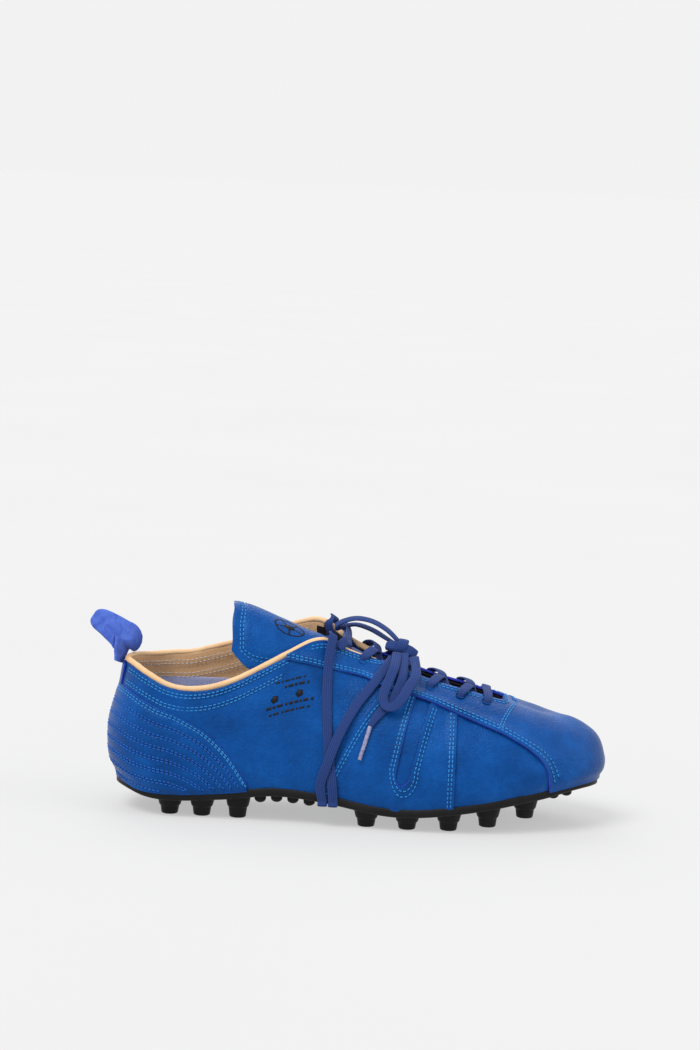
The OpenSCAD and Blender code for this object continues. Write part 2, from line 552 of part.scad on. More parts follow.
// Up out of hole a, over the facing and the throat, and under the other facing to hole b
function crossing(side, a, b) = let (lift = side > 0 ? 1.8 : 0) [
    in_hole(side, a, 0.6, -1), on(side, a[0] + 0.002, a[1] + 0.025, 2.8, 0.8),
    on(side, mix(a[0], b[0], 0.14), mix(a[1], 1, 0.3), 3.1),
    on(side, mix(a[0], b[0], 0.3), mix(a[1], 1, 0.62), 3.1),
    on(side, mix(a[0], b[0], 0.42), 0.985, 1.2 + lift),
    on(-side, mix(a[0], b[0], 0.54), 0.985, -1.9 + lift),
    on(-side, mix(a[0], b[0], 0.68), mix(b[1], 1, 0.66), -3.2),
    on(-side, mix(a[0], b[0], 0.82), mix(b[1], 1, 0.4), -3.4, 0.9),
    on(-side, b[0] - 0.004, b[1] + 0.03, -3.1, 0.8), in_hole(-side, b, -1.4, 1)];
function toe_bar(e) = concat(
    [in_hole(1, e, 0.6, -1), on(1, e[0] + 0.003, e[1] + 0.03, 2.5, 0.8), on(1, e[0] + 0.007, mix(e[1], 1, 0.5), 2.6),
        on(1, e[0] + 0.009, 0.97, 2.4)],
    [on(-1, e[0] + 0.009, 0.97, 2.4), on(-1, e[0] + 0.007, mix(e[1], 1, 0.5), 2.6),
        on(-1, e[0] + 0.003, e[1] + 0.03, 2.5, 0.8), in_hole(-1, e, 0.6, -1)]);
function backwards(rows) = [for (i = [len(rows) - 1:-1:0]) rows[i]];
function faced(rows, way) = [for (r = rows) [r[0], way * r[1], r[2], r[3]]];
last_hole = len(eyelet_places) - 1;
function zigzag(first) = [for (k = [0:last_hole - 1])
    crossing(k % 2 == 0 ? first : -first, eyelet_places[k], eyelet_places[k + 1])];
crossing_runs = let (down = zigzag(-1), up = zigzag(1))
    concat(down, [toe_bar(eyelet_places[last_hole])], [for (k = [last_hole - 1:-1:0]) backwards(up[k])]);
module lace_crossings() {
    color("#2a3d86") strand(smooth_run([for (k = [0:len(crossing_runs) - 1])
        each faced(crossing_runs[k], k % 2 == 0 ? 1 : -1)], 2));
}
top_hole = eyelet_places[0];
// Down the outer side, under the arch and up the inner side
arch_z = sole_z(0.44) - rim_h;
function under(x, y, drop) = free([x, y, arch_z - drop], [0, 0, -1]);
function rim_y(s, side, out) = side * (base_w(s, side) * ends(s) + rim_lip + out);
wrap_gap = 1.4;
// Places along X where the two turns pass under the arch
turn_a = -12.4;
turn_b = -18.4;
wrap_a = [
    on(-1, top_hole[0] + 0.006, top_hole[1] - 0.01, -2.9, 0.8), on(-1, top_hole[0] - 0.004, 0.95, -3.8, 0.9),
    on(-1, 0.438, 1, -2.2), on(-1, 0.436, 1, 4.6), on(-1, 0.434, 0.95, 5.4), on(-1, 0.433, 0.88, 4.9),
    on(-1, 0.434, 0.72, 3.3), on(-1, 0.438, 0.5, 3), on(-1, 0.446, 0.25, 3), on(-1, 0.455, 0.08, 3.4),
    free([turn_a, rim_y(0.455, -1, wrap_gap), arch_z + rim_h * 0.4], [0, -1, 0]),
    free([turn_a, rim_y(0.455, -1, 0.3), arch_z - 1.1], [0, -1, -1]), under(turn_a, -24, wrap_gap),
    under(turn_a, 0, wrap_gap), under(turn_a, 20, wrap_gap),
    free([turn_a, rim_y(0.455, 1, 0.3), arch_z - 1.1], [0, 1, -1]),
    free([turn_a, rim_y(0.455, 1, wrap_gap), arch_z + rim_h * 0.4], [0, 1, 0]),
    on(1, 0.458, 0.08, 3.4), on(1, 0.474, 0.25, 3), on(1, 0.502, 0.45, 3), on(1, 0.535, 0.65, 3.2),
    on(1, 0.56, 0.8, 4.6), on(1, 0.572, 0.92, 5.6)];
wrap_b = [
    on(1, top_hole[0] + 0.006, top_hole[1] - 0.01, -2.9, 0.8), on(1, top_hole[0] - 0.004, 0.95, -3.8, 0.9),
    on(1, 0.438, 1, -2.2), on(1, 0.436, 1, 4.6), on(1, 0.434, 0.95, 5.4), on(1, 0.433, 0.88, 4.9),
    on(1, 0.432, 0.72, 3.3), on(1, 0.431, 0.5, 3), on(1, 0.432, 0.25, 3), on(1, 0.434, 0.08, 3.4),
    free([turn_b, rim_y(0.435, 1, wrap_gap), arch_z + rim_h * 0.4], [0, 1, 0]),
    free([turn_b, rim_y(0.435, 1, 0.3), arch_z - 1.1], [0, 1, -1]), under(turn_b, 20, wrap_gap),
    under(turn_b, 0, wrap_gap), under(turn_b, -24, wrap_gap),
    free([turn_b, rim_y(0.435, -1, 0.3), arch_z - 1.1], [0, -1, -1]),
    free([turn_b, rim_y(0.435, -1, wrap_gap), arch_z + rim_h * 0.4], [0, -1, 0]),
    on(-1, 0.433, 0.07, 4), on(-1, 0.447, 0.2, 5.2), on(-1, 0.466, 0.34, 4.8), on(-1, 0.495, 0.48, 3.4),
    on(-1, 0.53, 0.62, 3.6), on(-1, 0.55, 0.76, 4.2), on(-1, 0.561, 0.87, 4.4)];
module lace_wrap() {
    color("#2a3d86") {
        strand(smooth_run(wrap_a, 2));
        strand(smooth_run(wrap_b, 2));
    }
}
knot = [24, 0, 98.5];
knot_r = 5;
module lace_knot() {
    color("#2a3d86") translate([knot[0] + heel_x + shoe_l / 2, knot[1], knot[2]]) hull() for (side = [-1, 1])
        translate([side * 1.5, side * 3, 0]) sphere(r = knot_r, $fn = 16);
}
bow_far = [
    free([23.5, 2.5, 99.5], [0.4, -0.6, 0.7]), free([19.5, 3.5, 104], [0.4, -0.6, 0.7]),
    free([14, 5, 108.5], [0.4, -0.6, 0.7]),
    free([6, 7, 112], [0.1, -0.6, 0.8]), free([-3, 8.5, 113], [-0.1, -0.6, 0.8]),
    free([-11, 10, 111], [-0.5, -0.6, 0.6]), free([-15, 11, 108], [-1, -0.2, 0]),
    free([-11, 13.5, 109.4], [-0.3, 0.4, -0.8]), free([-3, 14.6, 111.6], [0.1, 0.5, -0.8]),
    free([6, 12, 108.8], [0, 0.5, -0.8]), free([14, 8, 104.5], [-0.3, 0.4, -0.8]),
    free([19, 7.5, 101.5], [-0.4, 0.4, -0.8]), free([22.5, 6.5, 98.5], [-0.4, 0.4, -0.8])];
bow_near = [
    free([21, -11, 97], [0, -1, 0.6]), on(-1, 0.562, 0.73, 7.4), on(-1, 0.554, 0.62, 6.2),
    on(-1, 0.547, 0.535, 5.4), on(-1, 0.552, 0.48, 5.6), on(-1, 0.568, 0.48, 7.4),
    on(-1, 0.583, 0.53, 9.2), on(-1, 0.595, 0.62, 9.4), on(-1, 0.606, 0.72, 8.8), free([31, -11, 95], [0, -1, 0.4])];
end_lateral = [
    free([25, -9, 96.5], [0, -1, 0.6]), on(-1, 0.582, 0.72, 5.6), on(-1, 0.577, 0.62, 4.2),
    on(-1, 0.565, 0.53, 3.1), on(-1, 0.548, 0.46, 3.1), on(-1, 0.533, 0.4, 3.1, 0.8),
    on(-1, 0.526, 0.365, 3.2, 0.5)];
end_medial = [
    free([29, 9.5, 94], [0, 1, 0.6]), on(1, 0.606, 0.76, 4.6), on(1, 0.61, 0.66, 3.4), on(1, 0.61, 0.54, 3.1),
    on(1, 0.606, 0.42, 3.1), on(1, 0.6, 0.32, 3.1, 0.8), on(1, 0.598, 0.27, 3.2, 0.5)];
module lace_bow_far() { color("#2a3d86") strand(smooth_run(bow_far, 2)); }
module lace_bow_near() { color("#2a3d86") strand(smooth_run(bow_near, 2)); }
module lace_end_lateral() { color("#2a3d86") strand(smooth_run(end_lateral, 2)); }
module lace_end_medial() { color("#2a3d86") strand(smooth_run(end_medial, 2)); }
// An aglet runs from a lace end a little way on down the wall
module aglet(side, s0, v0, off0, s1, v1, off1) {
    a = skin(place(s0, side), v0, off0);
    b = skin(place(s1, side), v1, off1);
    d = b - a;
    n = unit(d);
    translate(a + 0.2 * n) rotate([0, acos(n[2]), atan2(n[1], n[0])]) cylinder(r = aglet_r, h = norm(d), $fn = 24);
}
module aglets() {
    color("#a9a7c4") {
        aglet(-1, 0.526, 0.365, 3.3, 0.508, 0.2, 3.6);
        aglet(1, 0.598, 0.27, 3.3, 0.592, 0.12, 3.6);
    }
}

outsole();
heel_studs();
forefoot_studs();
sole_nubs();
shank();
sole_filler();
lasting_board();
insole();
vamp();
quarter_lateral();
quarter_medial();
side_panel_lateral();
side_panel_medial();
window_backing_lateral();
window_backing_medial();
front_panel_lateral();
front_panel_medial();
heel_overlay();
back_strip();
collar_binding();
collar_lining();
forefoot_lining();
facing_backing_lateral();
facing_backing_medial();
toe_puff();
heel_counter();
tongue();
tongue_lining();
pull_tab();
lace_crossings();
lace_wrap();
lace_knot();
lace_bow_far();
lace_bow_near();
lace_end_lateral();
lace_end_medial();
aglets();
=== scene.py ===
import math
import bpy
import bmesh
import numpy as np
from mathutils import Matrix, Vector, noise


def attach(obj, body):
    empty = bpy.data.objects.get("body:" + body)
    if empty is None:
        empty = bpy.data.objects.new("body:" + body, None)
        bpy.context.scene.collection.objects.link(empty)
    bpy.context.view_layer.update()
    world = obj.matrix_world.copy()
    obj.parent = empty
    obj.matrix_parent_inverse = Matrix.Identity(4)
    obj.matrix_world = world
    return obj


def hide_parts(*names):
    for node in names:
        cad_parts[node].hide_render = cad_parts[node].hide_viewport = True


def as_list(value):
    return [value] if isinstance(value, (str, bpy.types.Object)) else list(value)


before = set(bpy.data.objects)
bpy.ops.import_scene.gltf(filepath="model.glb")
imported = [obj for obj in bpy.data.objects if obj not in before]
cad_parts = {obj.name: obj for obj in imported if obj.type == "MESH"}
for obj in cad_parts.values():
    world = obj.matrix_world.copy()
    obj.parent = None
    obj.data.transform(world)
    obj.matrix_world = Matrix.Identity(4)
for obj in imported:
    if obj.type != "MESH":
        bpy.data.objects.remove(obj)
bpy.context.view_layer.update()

print("frame loaded")

# the foot shape that every panel lies on, in millimetres
shoe = dict(length=285, ball=47, heel=33, heelHigh=88, collarLow=76, instep=107, toe=62,
            plate=13.5, tabReach=14.5, lip=2)
heelX = (shoe["tabReach"] - shoe["length"]) / 2


def mix(a, b, f):
    return a + (b - a) * f


def ease(f):
    c = np.clip(f, 0, 1)
    return c * c * (3 - 2 * c)


def curve(rows, s):
    # smooth run through rows of (place, value)
    tab = np.array(rows, float)
    x, y = tab[:, 0], tab[:, 1]
    d = np.zeros_like(y)
    d[1:-1] = (y[2:] - y[:-2]) / (x[2:] - x[:-2])
    s = np.asarray(s, float)
    i = np.clip(np.searchsorted(x, s, side="right") - 1, 0, len(x) - 2)
    h = x[i + 1] - x[i]
    f = np.clip((s - x[i]) / h, 0, 1)
    f2, f3 = f * f, f * f * f
    return (y[i] * (2 * f3 - 3 * f2 + 1) + d[i] * h * (f3 - 2 * f2 + f)
            + y[i + 1] * (3 * f2 - 2 * f3) + d[i + 1] * h * (f3 - f2))


rocker = [(0, 6.5), (.06, 2.5), (.14, 1.5), (.24, 3.5), (.34, 7), (.44, 5), (.56, 0), (.64, .5), (.76, 5.5),
          (.88, 11.5), (1, 16.5)]
low, high, toeHigh = shoe["collarLow"], shoe["instep"], shoe["toe"]
topLine = [(0, shoe["heelHigh"]), (.05, mix(low, shoe["heelHigh"], .6)), (.1, low + 2), (.15, low),
           (.2, low + 1.5), (.25, low + 6.5), (.3, mix(low, high, .45)), (.35, mix(low, high, .71)),
           (.4, high - 1.5), (.425, high), (.45, high - 1), (.5, high - 6.5), (.55, mix(toeHigh, high, .7)),
           (.6, mix(toeHigh, high, .58)), (.65, mix(toeHigh, high, .47)), (.7, mix(toeHigh, high, .38)),
           (.75, mix(toeHigh, high, .3)), (.8, mix(toeHigh, high, .24)), (.9, mix(toeHigh, high, .12)),
           (1, toeHigh)]
innerRise = [(0, 0), (.05, 4), (.1, 10), (.15, 13), (.2, 15), (.25, 14), (.3, 11), (.35, 9), (.42, 4),
             (.5, 1), (.56, 0), (1, 0)]
hw, bw = shoe["heel"], shoe["ball"]
outerBase = [(0, hw), (.1, hw), (.25, hw * 1.04), (.4, bw * .82), (.55, bw * .96), (.66, bw * 1.02),
             (.78, bw * 1.01), (.9, bw * .97), (1, bw * .92)]
innerBase = [(0, hw), (.1, hw), (.25, hw * .92), (.4, bw * .68), (.55, bw * .86), (.66, bw * .98),
             (.78, bw * 1.04), (.9, bw * 1.04), (1, bw)]
mouth = hw * .84
mouthHalf = [(0, mouth), (.2, mouth * 1.03), (.3, mouth * 1.01), (.42, mouth * .93), (1, mouth * .93)]
heelBack = [(0, 5.5), (.15, 1.2), (.38, 0), (.5, 1), (.62, 3), (.77, 5.6), (.9, 7), (1, 8)]
toeBack = [(0, 3.5), (.08, 1), (.18, 0), (.36, 2), (.48, 5), (.6, 10), (.8, 19), (1, 28)]


def soleZ(s):
    return shoe["plate"] + curve(rocker, s)


def topZ(s, side):
    return curve(topLine, s) + np.where(np.asarray(side) > 0, curve(innerRise, s), 0)


def roundEnd(f):
    return np.sqrt(np.maximum(0, 1 - (1 - np.minimum(f, 1)) ** 2))


def ends(s):
    return roundEnd(s / .12) * roundEnd((1 - s) / .3)


def baseW(s, side):
    return np.where(np.asarray(side) > 0, curve(innerBase, s), curve(outerBase, s))


def wrapT(t):
    t = np.asarray(t, float)
    return np.where(t > 1, t - 2, np.where(t < -1, t + 2, t))


def share(t):
    return (1 - np.cos(np.pi * wrapT(t))) / 2


def sideOf(t):
    return np.where(wrapT(t) < 0, -1, 1)


def place(s, side):
    return side * np.arccos(np.clip(1 - 2 * np.asarray(s, float), -1, 1)) / np.pi


def at(t, v):
    s, side = share(t), sideOf(t)
    v = np.clip(v, 0, 1)
    dome = ease((s - .4) / .16)
    rise = mix(v, np.sin(np.pi / 2 * v) ** .95, dome)
    base = baseW(s, side)
    swell = 3.2 * np.sin(np.pi * v ** .6)
    half = mix(mix(base, curve(mouthHalf, s), v ** 1.4) + swell * .8,
               (base + swell) * np.maximum(0, np.cos(np.pi / 2 * v)) ** .85, dome) * ends(s)
    x = (heelX + shoe["length"] * s + curve(heelBack, v) * (1 - ease(s / .2))
         - curve(toeBack, v) * ease((s - .7) / .3))
    return np.stack([x, side * half, mix(soleZ(s), topZ(s, side), rise)], -1)


def unit(a):
    return a / np.maximum(np.linalg.norm(a, axis=-1, keepdims=True), 1e-9)


def normal(t, v):
    w = np.clip(v, .08, .985)
    d = .006
    return unit(np.cross(at(t - d, w) - at(t + d, w), at(t, w + d) - at(t, np.maximum(0, w - d))))


def skin(t, v, off):
    # a point off mm outside the foot shape; below the sole edge it goes straight down
    v = np.asarray(v, float)
    p = at(t, v) + np.asarray(off)[..., None] * normal(t, v)
    p[..., 2] += np.minimum(v, 0) * 60
    return p


def wallH(s):
    return topZ(s, -1) - soleZ(s)


# seams, as v over s
facingEdge = [(.36, 1), (.42, 1), (.45, .965), (.5, .885), (.55, .85), (.6, .845), (.7, .855), (.8, .875),
              (.83, .9)]
vampSeam = [(.35, .93), (.38, .87), (.42, .8), (.46, .74), (.5, .675), (.55, .6), (.6, .61), (.65, .6),
            (.7, .56), (.75, .51), (.8, .44), (.85, .32), (.875, .2), (.893, .02), (.895, 0)]
overlayEdge = [(0, .76), (.08, .74), (.13, .715), (.18, .61), (.215, .47), (.245, .31), (.27, .14),
               (.29, .02)]
holes = [(.445, .9), (.503, .8), (.567, .745), (.64, .74), (.703, .745), (.763, .755)]
throatEnd = .83
panelFront = .697
windowFoot = .11
bindR = 1.9


def rimV(s):
    return curve(facingEdge, s) - bindR / wallH(s)


def waistSeam(q):
    return mix(.43, .56, q)


def windowMid(q):
    return mix(.582, .63, q)


def windowHalf(q):
    return .0155 * np.maximum(.02, roundEnd(np.maximum(q, 0) / .13))


def bumpNear(d, width):
    # 1 at a seam, 0 further than width mm from it
    return 1 - ease(np.abs(d) / width)


# depth of the lining's inner face under the foot shape, mm
linerFace = -2.8


# how far each leather's outer face stands over the foot shape, mm
def quarterOff(s, side, v):
    return 1.5 - .9 * ease((v - curve(vampSeam, s)) / .04)


def panelOff(s, side, v):
    q = np.clip(v / np.maximum(curve(vampSeam, s), .05), 0, 1)
    left = (s - waistSeam(q)) * shoe["length"]
    right = (panelFront - s) * shoe["length"]
    above = (v - windowFoot) / np.maximum(curve(vampSeam, s) - windowFoot, .05)
    window = (np.abs(s - windowMid(q)) - windowHalf(above)) * shoe["length"]
    raised = np.maximum(bumpNear(left, 7), np.maximum(bumpNear(right, 7), bumpNear(window, 5)))
    return 1.75 + .95 * raised


def frontOff(s, side, v):
    return 1.5 + 0 * s


def vampOff(s, side, v):
    edge = (v - curve(vampSeam, s)) * wallH(s) * 1.1
    lift = mix(1.2, 1.9, ease((s - .5) / .06))
    return 1.75 + lift * bumpNear(np.maximum(edge, 0), 9)


quilt = dict(gap=6.6, puff=.5, rows=8, first=2.2, tall=66)


def overlayOff(s, side, v):
    edge = (curve(overlayEdge, s) - v) * quilt["tall"]
    # padded channels between the quilting rows
    step = np.clip(edge, 0, 60)
    channel = np.abs(np.sin(np.pi * (step - quilt["first"]) / quilt["gap"])) ** .55
    return 2.45 + quilt["puff"] * channel * ease((step - 1.5) / 3)


def wrinkle(p, size, amount, seed):
    # soft unevenness of leather: size is its wave and amount its height, in mm
    return np.array([noise.noise(Vector(q) / size + Vector((seed, seed * 2.1, 0))) for q in p]) * amount


# Blender helpers
def toLinear(code):
    c = [int(code[i:i + 2], 16) / 255 for i in (1, 3, 5)]
    return tuple(x / 12.92 if x <= .04045 else ((x + .055) / 1.055) ** 2.4 for x in c) + (1,)


def addNode(tree, kind, settings=None, links=None):
    # a node with its settings and what feeds each input
    n = tree.nodes.new(kind)
    for k, v in (settings or {}).items():
        if isinstance(k, int) or k in n.inputs:
            n.inputs[k].default_value = v
        else:
            setattr(n, k, v)
    for k, source in (links or {}).items():
        tree.links.new(source, n.inputs[k])
    return n


def newMaterial(name, shader):
    m = bpy.data.materials.new(name)
    m.use_nodes = True
    tree = m.node_tree
    tree.nodes.clear()
    out = addNode(tree, "ShaderNodeOutputMaterial")
    bsdf = addNode(tree, "ShaderNodeBsdfPrincipled", shader)
    tree.links.new(bsdf.outputs[0], out.inputs["Surface"])
    return m, tree, bsdf


def ramp(tree, source, stops):
    r = addNode(tree, "ShaderNodeValToRGB", None, {"Fac": source})
    el = r.color_ramp.elements
    while len(el) < len(stops):
        el.new(.5)
    for e, (pos, col) in zip(el, stops):
        e.position = pos
        e.color = col
    return r.outputs["Color"]


# full grain calf leather, drum dyed and finished with a satin coat: pebbled grain about 1 mm across with
# fine creases through it, and a gloss that breaks up where the grain is open
def leatherMaterial(name, dark, mid, light, rough, grainMm, grainDepth, coat=.12):
    m, tree, bsdf = newMaterial(name, {"IOR": 1.5, "Specular IOR Level": .24,
                                       "Specular Tint": (.28, .6, 1, 1), "Coat Weight": coat,
                                       "Coat Roughness": .24, "Coat IOR": 1.35})
    where = addNode(tree, "ShaderNodeTexCoord").outputs["Object"]
    cloud = addNode(tree, "ShaderNodeTexNoise", {"Scale": 34, "Detail": 5, "Roughness": .62},
                    {"Vector": where})
    grain = addNode(tree, "ShaderNodeTexVoronoi", {"feature": "SMOOTH_F1", "Scale": 1000 / grainMm,
                    "Smoothness": .35, "Randomness": 1}, {"Vector": where})
    crease = addNode(tree, "ShaderNodeTexNoise", {"Scale": 1000 / (grainMm * 3.2), "Detail": 6,
                     "Roughness": .66, "Distortion": .8}, {"Vector": where})
    # long pull creases that run with the stretch of the hide
    stretch = addNode(tree, "ShaderNodeMapping", {"Scale": (150, 150, 520), "Rotation": (0, .6, 0)},
                      {"Vector": where})
    pull = addNode(tree, "ShaderNodeTexNoise", {"Scale": 1, "Detail": 4, "Roughness": .55,
                   "Distortion": .5}, {"Vector": stretch.outputs[0]})
    worn = addNode(tree, "ShaderNodeMath", {"operation": "MULTIPLY_ADD", 1: .35},
                   {0: crease.outputs["Fac"], 2: cloud.outputs["Fac"]})
    col = ramp(tree, worn.outputs[0],
               [(.45, toLinear(dark)), (.68, toLinear(mid)), (.95, toLinear(light))])
    tree.links.new(col, bsdf.inputs["Base Color"])
    fine = addNode(tree, "ShaderNodeMath", {"operation": "ADD"},
                   {0: grain.outputs["Distance"], 1: crease.outputs["Fac"]})
    both = addNode(tree, "ShaderNodeMath", {"operation": "MULTIPLY_ADD", 1: 1.3},
                   {0: pull.outputs["Fac"], 2: fine.outputs[0]})
    bump = addNode(tree, "ShaderNodeBump", {"Strength": .6, "Distance": grainDepth / 1000},
                   {"Height": both.outputs[0]})
    tree.links.new(bump.outputs[0], bsdf.inputs["Normal"])
    tree.links.new(bump.outputs[0], bsdf.inputs["Coat Normal"])
    gloss = addNode(tree, "ShaderNodeMapRange", {"To Min": rough - .12, "To Max": rough + .14},
                    {"Value": crease.outputs["Fac"]})
    tree.links.new(gloss.outputs[0], bsdf.inputs["Roughness"])
    return m


# woven or knitted cloth from the piece's UV in millimetres: ribs of yarn at a slant each way
def weaveMaterial(name, dark, light, pitchMm, depthMm, sheen=.25):
    m, tree, bsdf = newMaterial(name, {"IOR": 1.48, "Specular IOR Level": .2, "Roughness": .82,
                                       "Sheen Weight": sheen, "Sheen Roughness": .45})
    uv = addNode(tree, "ShaderNodeUVMap", {"uv_map": "weave"}).outputs["UV"]
    split = addNode(tree, "ShaderNodeSeparateXYZ", None, {"Vector": uv})
    across, along = split.outputs["X"], split.outputs["Y"]
    # the yarns slant to the middle line, so the rows read as a row of v shapes
    fold = addNode(tree, "ShaderNodeMath", {"operation": "PINGPONG", 1: 1.15}, {0: across})
    slant = addNode(tree, "ShaderNodeMath", {"operation": "MULTIPLY_ADD", 1: 1.1},
                    {0: fold.outputs[0], 2: along})
    turn = addNode(tree, "ShaderNodeMath", {"operation": "MULTIPLY", 1: 2 * math.pi / pitchMm},
                   {0: slant.outputs[0]})
    yarn = addNode(tree, "ShaderNodeMath", {"operation": "SINE"}, {0: turn.outputs[0]})
    ribTurn = addNode(tree, "ShaderNodeMath", {"operation": "MULTIPLY", 1: 2 * math.pi / 1.15},
                      {0: across})
    rib = addNode(tree, "ShaderNodeMath", {"operation": "COSINE"}, {0: ribTurn.outputs[0]})
    ribbed = addNode(tree, "ShaderNodeMath", {"operation": "MULTIPLY_ADD", 1: .8},
                     {0: rib.outputs[0], 2: yarn.outputs[0]})
    level = addNode(tree, "ShaderNodeMapRange", {"From Min": -1.8, "From Max": 1.8},
                    {"Value": ribbed.outputs[0]})
    fuzz = addNode(tree, "ShaderNodeTexNoise", {"Scale": 3, "Detail": 3}, {"Vector": uv})
    tone = addNode(tree, "ShaderNodeMath", {"operation": "MULTIPLY_ADD", 1: .35},
                   {0: fuzz.outputs["Fac"], 2: level.outputs[0]})
    col = ramp(tree, tone.outputs[0], [(.25, toLinear(dark)), (1, toLinear(light))])
    tree.links.new(col, bsdf.inputs["Base Color"])
    bump = addNode(tree, "ShaderNodeBump", {"Strength": .8, "Distance": depthMm / 1000},
                   {"Height": level.outputs[0]})
    tree.links.new(bump.outputs[0], bsdf.inputs["Normal"])
    return m


# split suede: no gloss, nap that lies in patches
def suedeMaterial(name, dark, light):
    m, tree, bsdf = newMaterial(name, {"IOR": 1.45, "Specular IOR Level": .1, "Roughness": .95,
                                       "Sheen Weight": .3, "Sheen Roughness": .5,
                                       "Sheen Tint": toLinear("#7F8FE8")})
    where = addNode(tree, "ShaderNodeTexCoord").outputs["Object"]
    nap = addNode(tree, "ShaderNodeTexNoise", {"Scale": 900, "Detail": 6, "Roughness": .75},
                  {"Vector": where})
    patch = addNode(tree, "ShaderNodeTexNoise", {"Scale": 130, "Detail": 4, "Distortion": 1.2},
                    {"Vector": where})
    tone = addNode(tree, "ShaderNodeMath", {"operation": "MULTIPLY_ADD", 1: .5},
                   {0: nap.outputs["Fac"], 2: patch.outputs["Fac"]})
    col = ramp(tree, tone.outputs[0], [(.5, toLinear(dark)), (1, toLinear(light))])
    tree.links.new(col, bsdf.inputs["Base Color"])
    bump = addNode(tree, "ShaderNodeBump", {"Strength": .7, "Distance": .0004},
                   {"Height": tone.outputs[0]})
    tree.links.new(bump.outputs[0], bsdf.inputs["Normal"])
    return m


# moulded, rolled or pressed solid, such as rubber, thread, board or steel: fine even texture, faint scuffs
def mouldedMaterial(name, base, light, rough, scaleMm, depthMm, metallic=0, ior=1.52):
    m, tree, bsdf = newMaterial(name, {"IOR": ior, "Metallic": metallic,
                                       "Specular IOR Level": .5 if metallic else .14})
    where = addNode(tree, "ShaderNodeTexCoord").outputs["Object"]
    fine = addNode(tree, "ShaderNodeTexNoise", {"Scale": 1000 / scaleMm, "Detail": 4}, {"Vector": where})
    scuff = addNode(tree, "ShaderNodeTexNoise", {"Scale": 60, "Detail": 5, "Roughness": .65},
                    {"Vector": where})
    col = ramp(tree, scuff.outputs["Fac"], [(.35, toLinear(base)), (.8, toLinear(light))])
    tree.links.new(col, bsdf.inputs["Base Color"])
    gloss = addNode(tree, "ShaderNodeMapRange", {"To Min": rough - .08, "To Max": rough + .1},
                    {"Value": scuff.outputs["Fac"]})
    tree.links.new(gloss.outputs[0], bsdf.inputs["Roughness"])
    bump = addNode(tree, "ShaderNodeBump", {"Strength": .5, "Distance": depthMm / 1000},
                   {"Height": fine.outputs["Fac"]})
    tree.links.new(bump.outputs[0], bsdf.inputs["Normal"])
    return m


blueLeather = leatherMaterial("blueCalfLeather", "#03336E", "#043F82", "#0A4E98", .36, .95, .3, .07)
rawEdge = suedeMaterial("cutLeatherEdge", "#20298C", "#3442B8")
tanLeather = leatherMaterial("tanLiningLeather", "#CFA375", "#DDB284", "#E6BF93", .55, .8, .16, .02)
bindingLeather = leatherMaterial("tanBindingLeather", "#C9A074", "#D6B083", "#DFBE96", .5, .9, .1, .05)
throatCloth = weaveMaterial("blueThroatTwill", "#0B1E58", "#17337E", .8, .12)
blackKnit = weaveMaterial("blackKnitLining", "#121116", "#2E2C33", .8, .15)
laceWeave = weaveMaterial("navyFlatLaceWeave", "#142553", "#28427F", .85, .24, .04)
tabSuede = suedeMaterial("blueSplitSuede", "#3A52A6", "#5673CA")
linerCloth = weaveMaterial("lavenderLinerCloth", "#9297BE", "#B4B8D8", 1, .08)
soleRubber = mouldedMaterial("blackMouldedRubber", "#100F10", "#1C1A1B", .46, .5, .05)
blueThread = mouldedMaterial("blueBondedThread", "#2474B8", "#3D8ED0", .5, .3, .03)
darkThread = mouldedMaterial("deepBlueThread", "#1650A4", "#2468BE", .55, .3, .03)
paleThread = mouldedMaterial("greyBondedThread", "#A9A19B", "#CFC6BD", .55, .3, .03)
# flat dark discs between the stitches: painted shade for the inside of each needle hole
needleHoleShade = mouldedMaterial("needleHoleShade", "#081F48", "#0C2A5C", .8, .4, .03)
blackInk = mouldedMaterial("blackScreenInk", "#101218", "#1B1E26", .5, .6, .02)
fibreBoard = mouldedMaterial("fibreBoard", "#8A6B46", "#A98A60", .85, .8, .1)
springSteel = mouldedMaterial("rolledSpringSteel", "#8F9296", "#B0B3B7", .35, .3, .01, 1, 1.45)
puffSheet = mouldedMaterial("pressedStiffener", "#CFC8B8", "#E0DACC", .8, .6, .06)
backingCloth = mouldedMaterial("blackBackingCloth", "#16151A", "#232228", .9, .5, .12)
# near-black painted shade for the inside of the punched lace holes
holeShade = mouldedMaterial("punchedHoleShade", "#06112B", "#0A1A3C", .85, .5, .05)


def agletMaterial():
    # clear shrunk film over the navy weave: milky, smooth
    m, tree, bsdf = newMaterial("clearAgletFilm", {"IOR": 1.49, "Roughness": .22, "Coat Weight": .6,
                                                   "Coat Roughness": .12, "Transmission Weight": .25})
    where = addNode(tree, "ShaderNodeTexCoord").outputs["Object"]
    band = addNode(tree, "ShaderNodeTexNoise", {"Scale": 420, "Detail": 3}, {"Vector": where})
    col = ramp(tree, band.outputs["Fac"], [(.3, toLinear("#5E6296")), (.75, toLinear("#B4B0CB"))])
    tree.links.new(col, bsdf.inputs["Base Color"])
    return m


agletFilm = agletMaterial()
print("materials ready")


def finishMesh(bm, name, mats, smooth=True):
    me = bpy.data.meshes.new(name)
    bm.to_mesh(me)
    bm.free()
    o = bpy.data.objects.new(name, me)
    bpy.context.scene.collection.objects.link(o)
    for m in mats:
        me.materials.append(m)
    if smooth:
        me.shade_smooth()
    return o


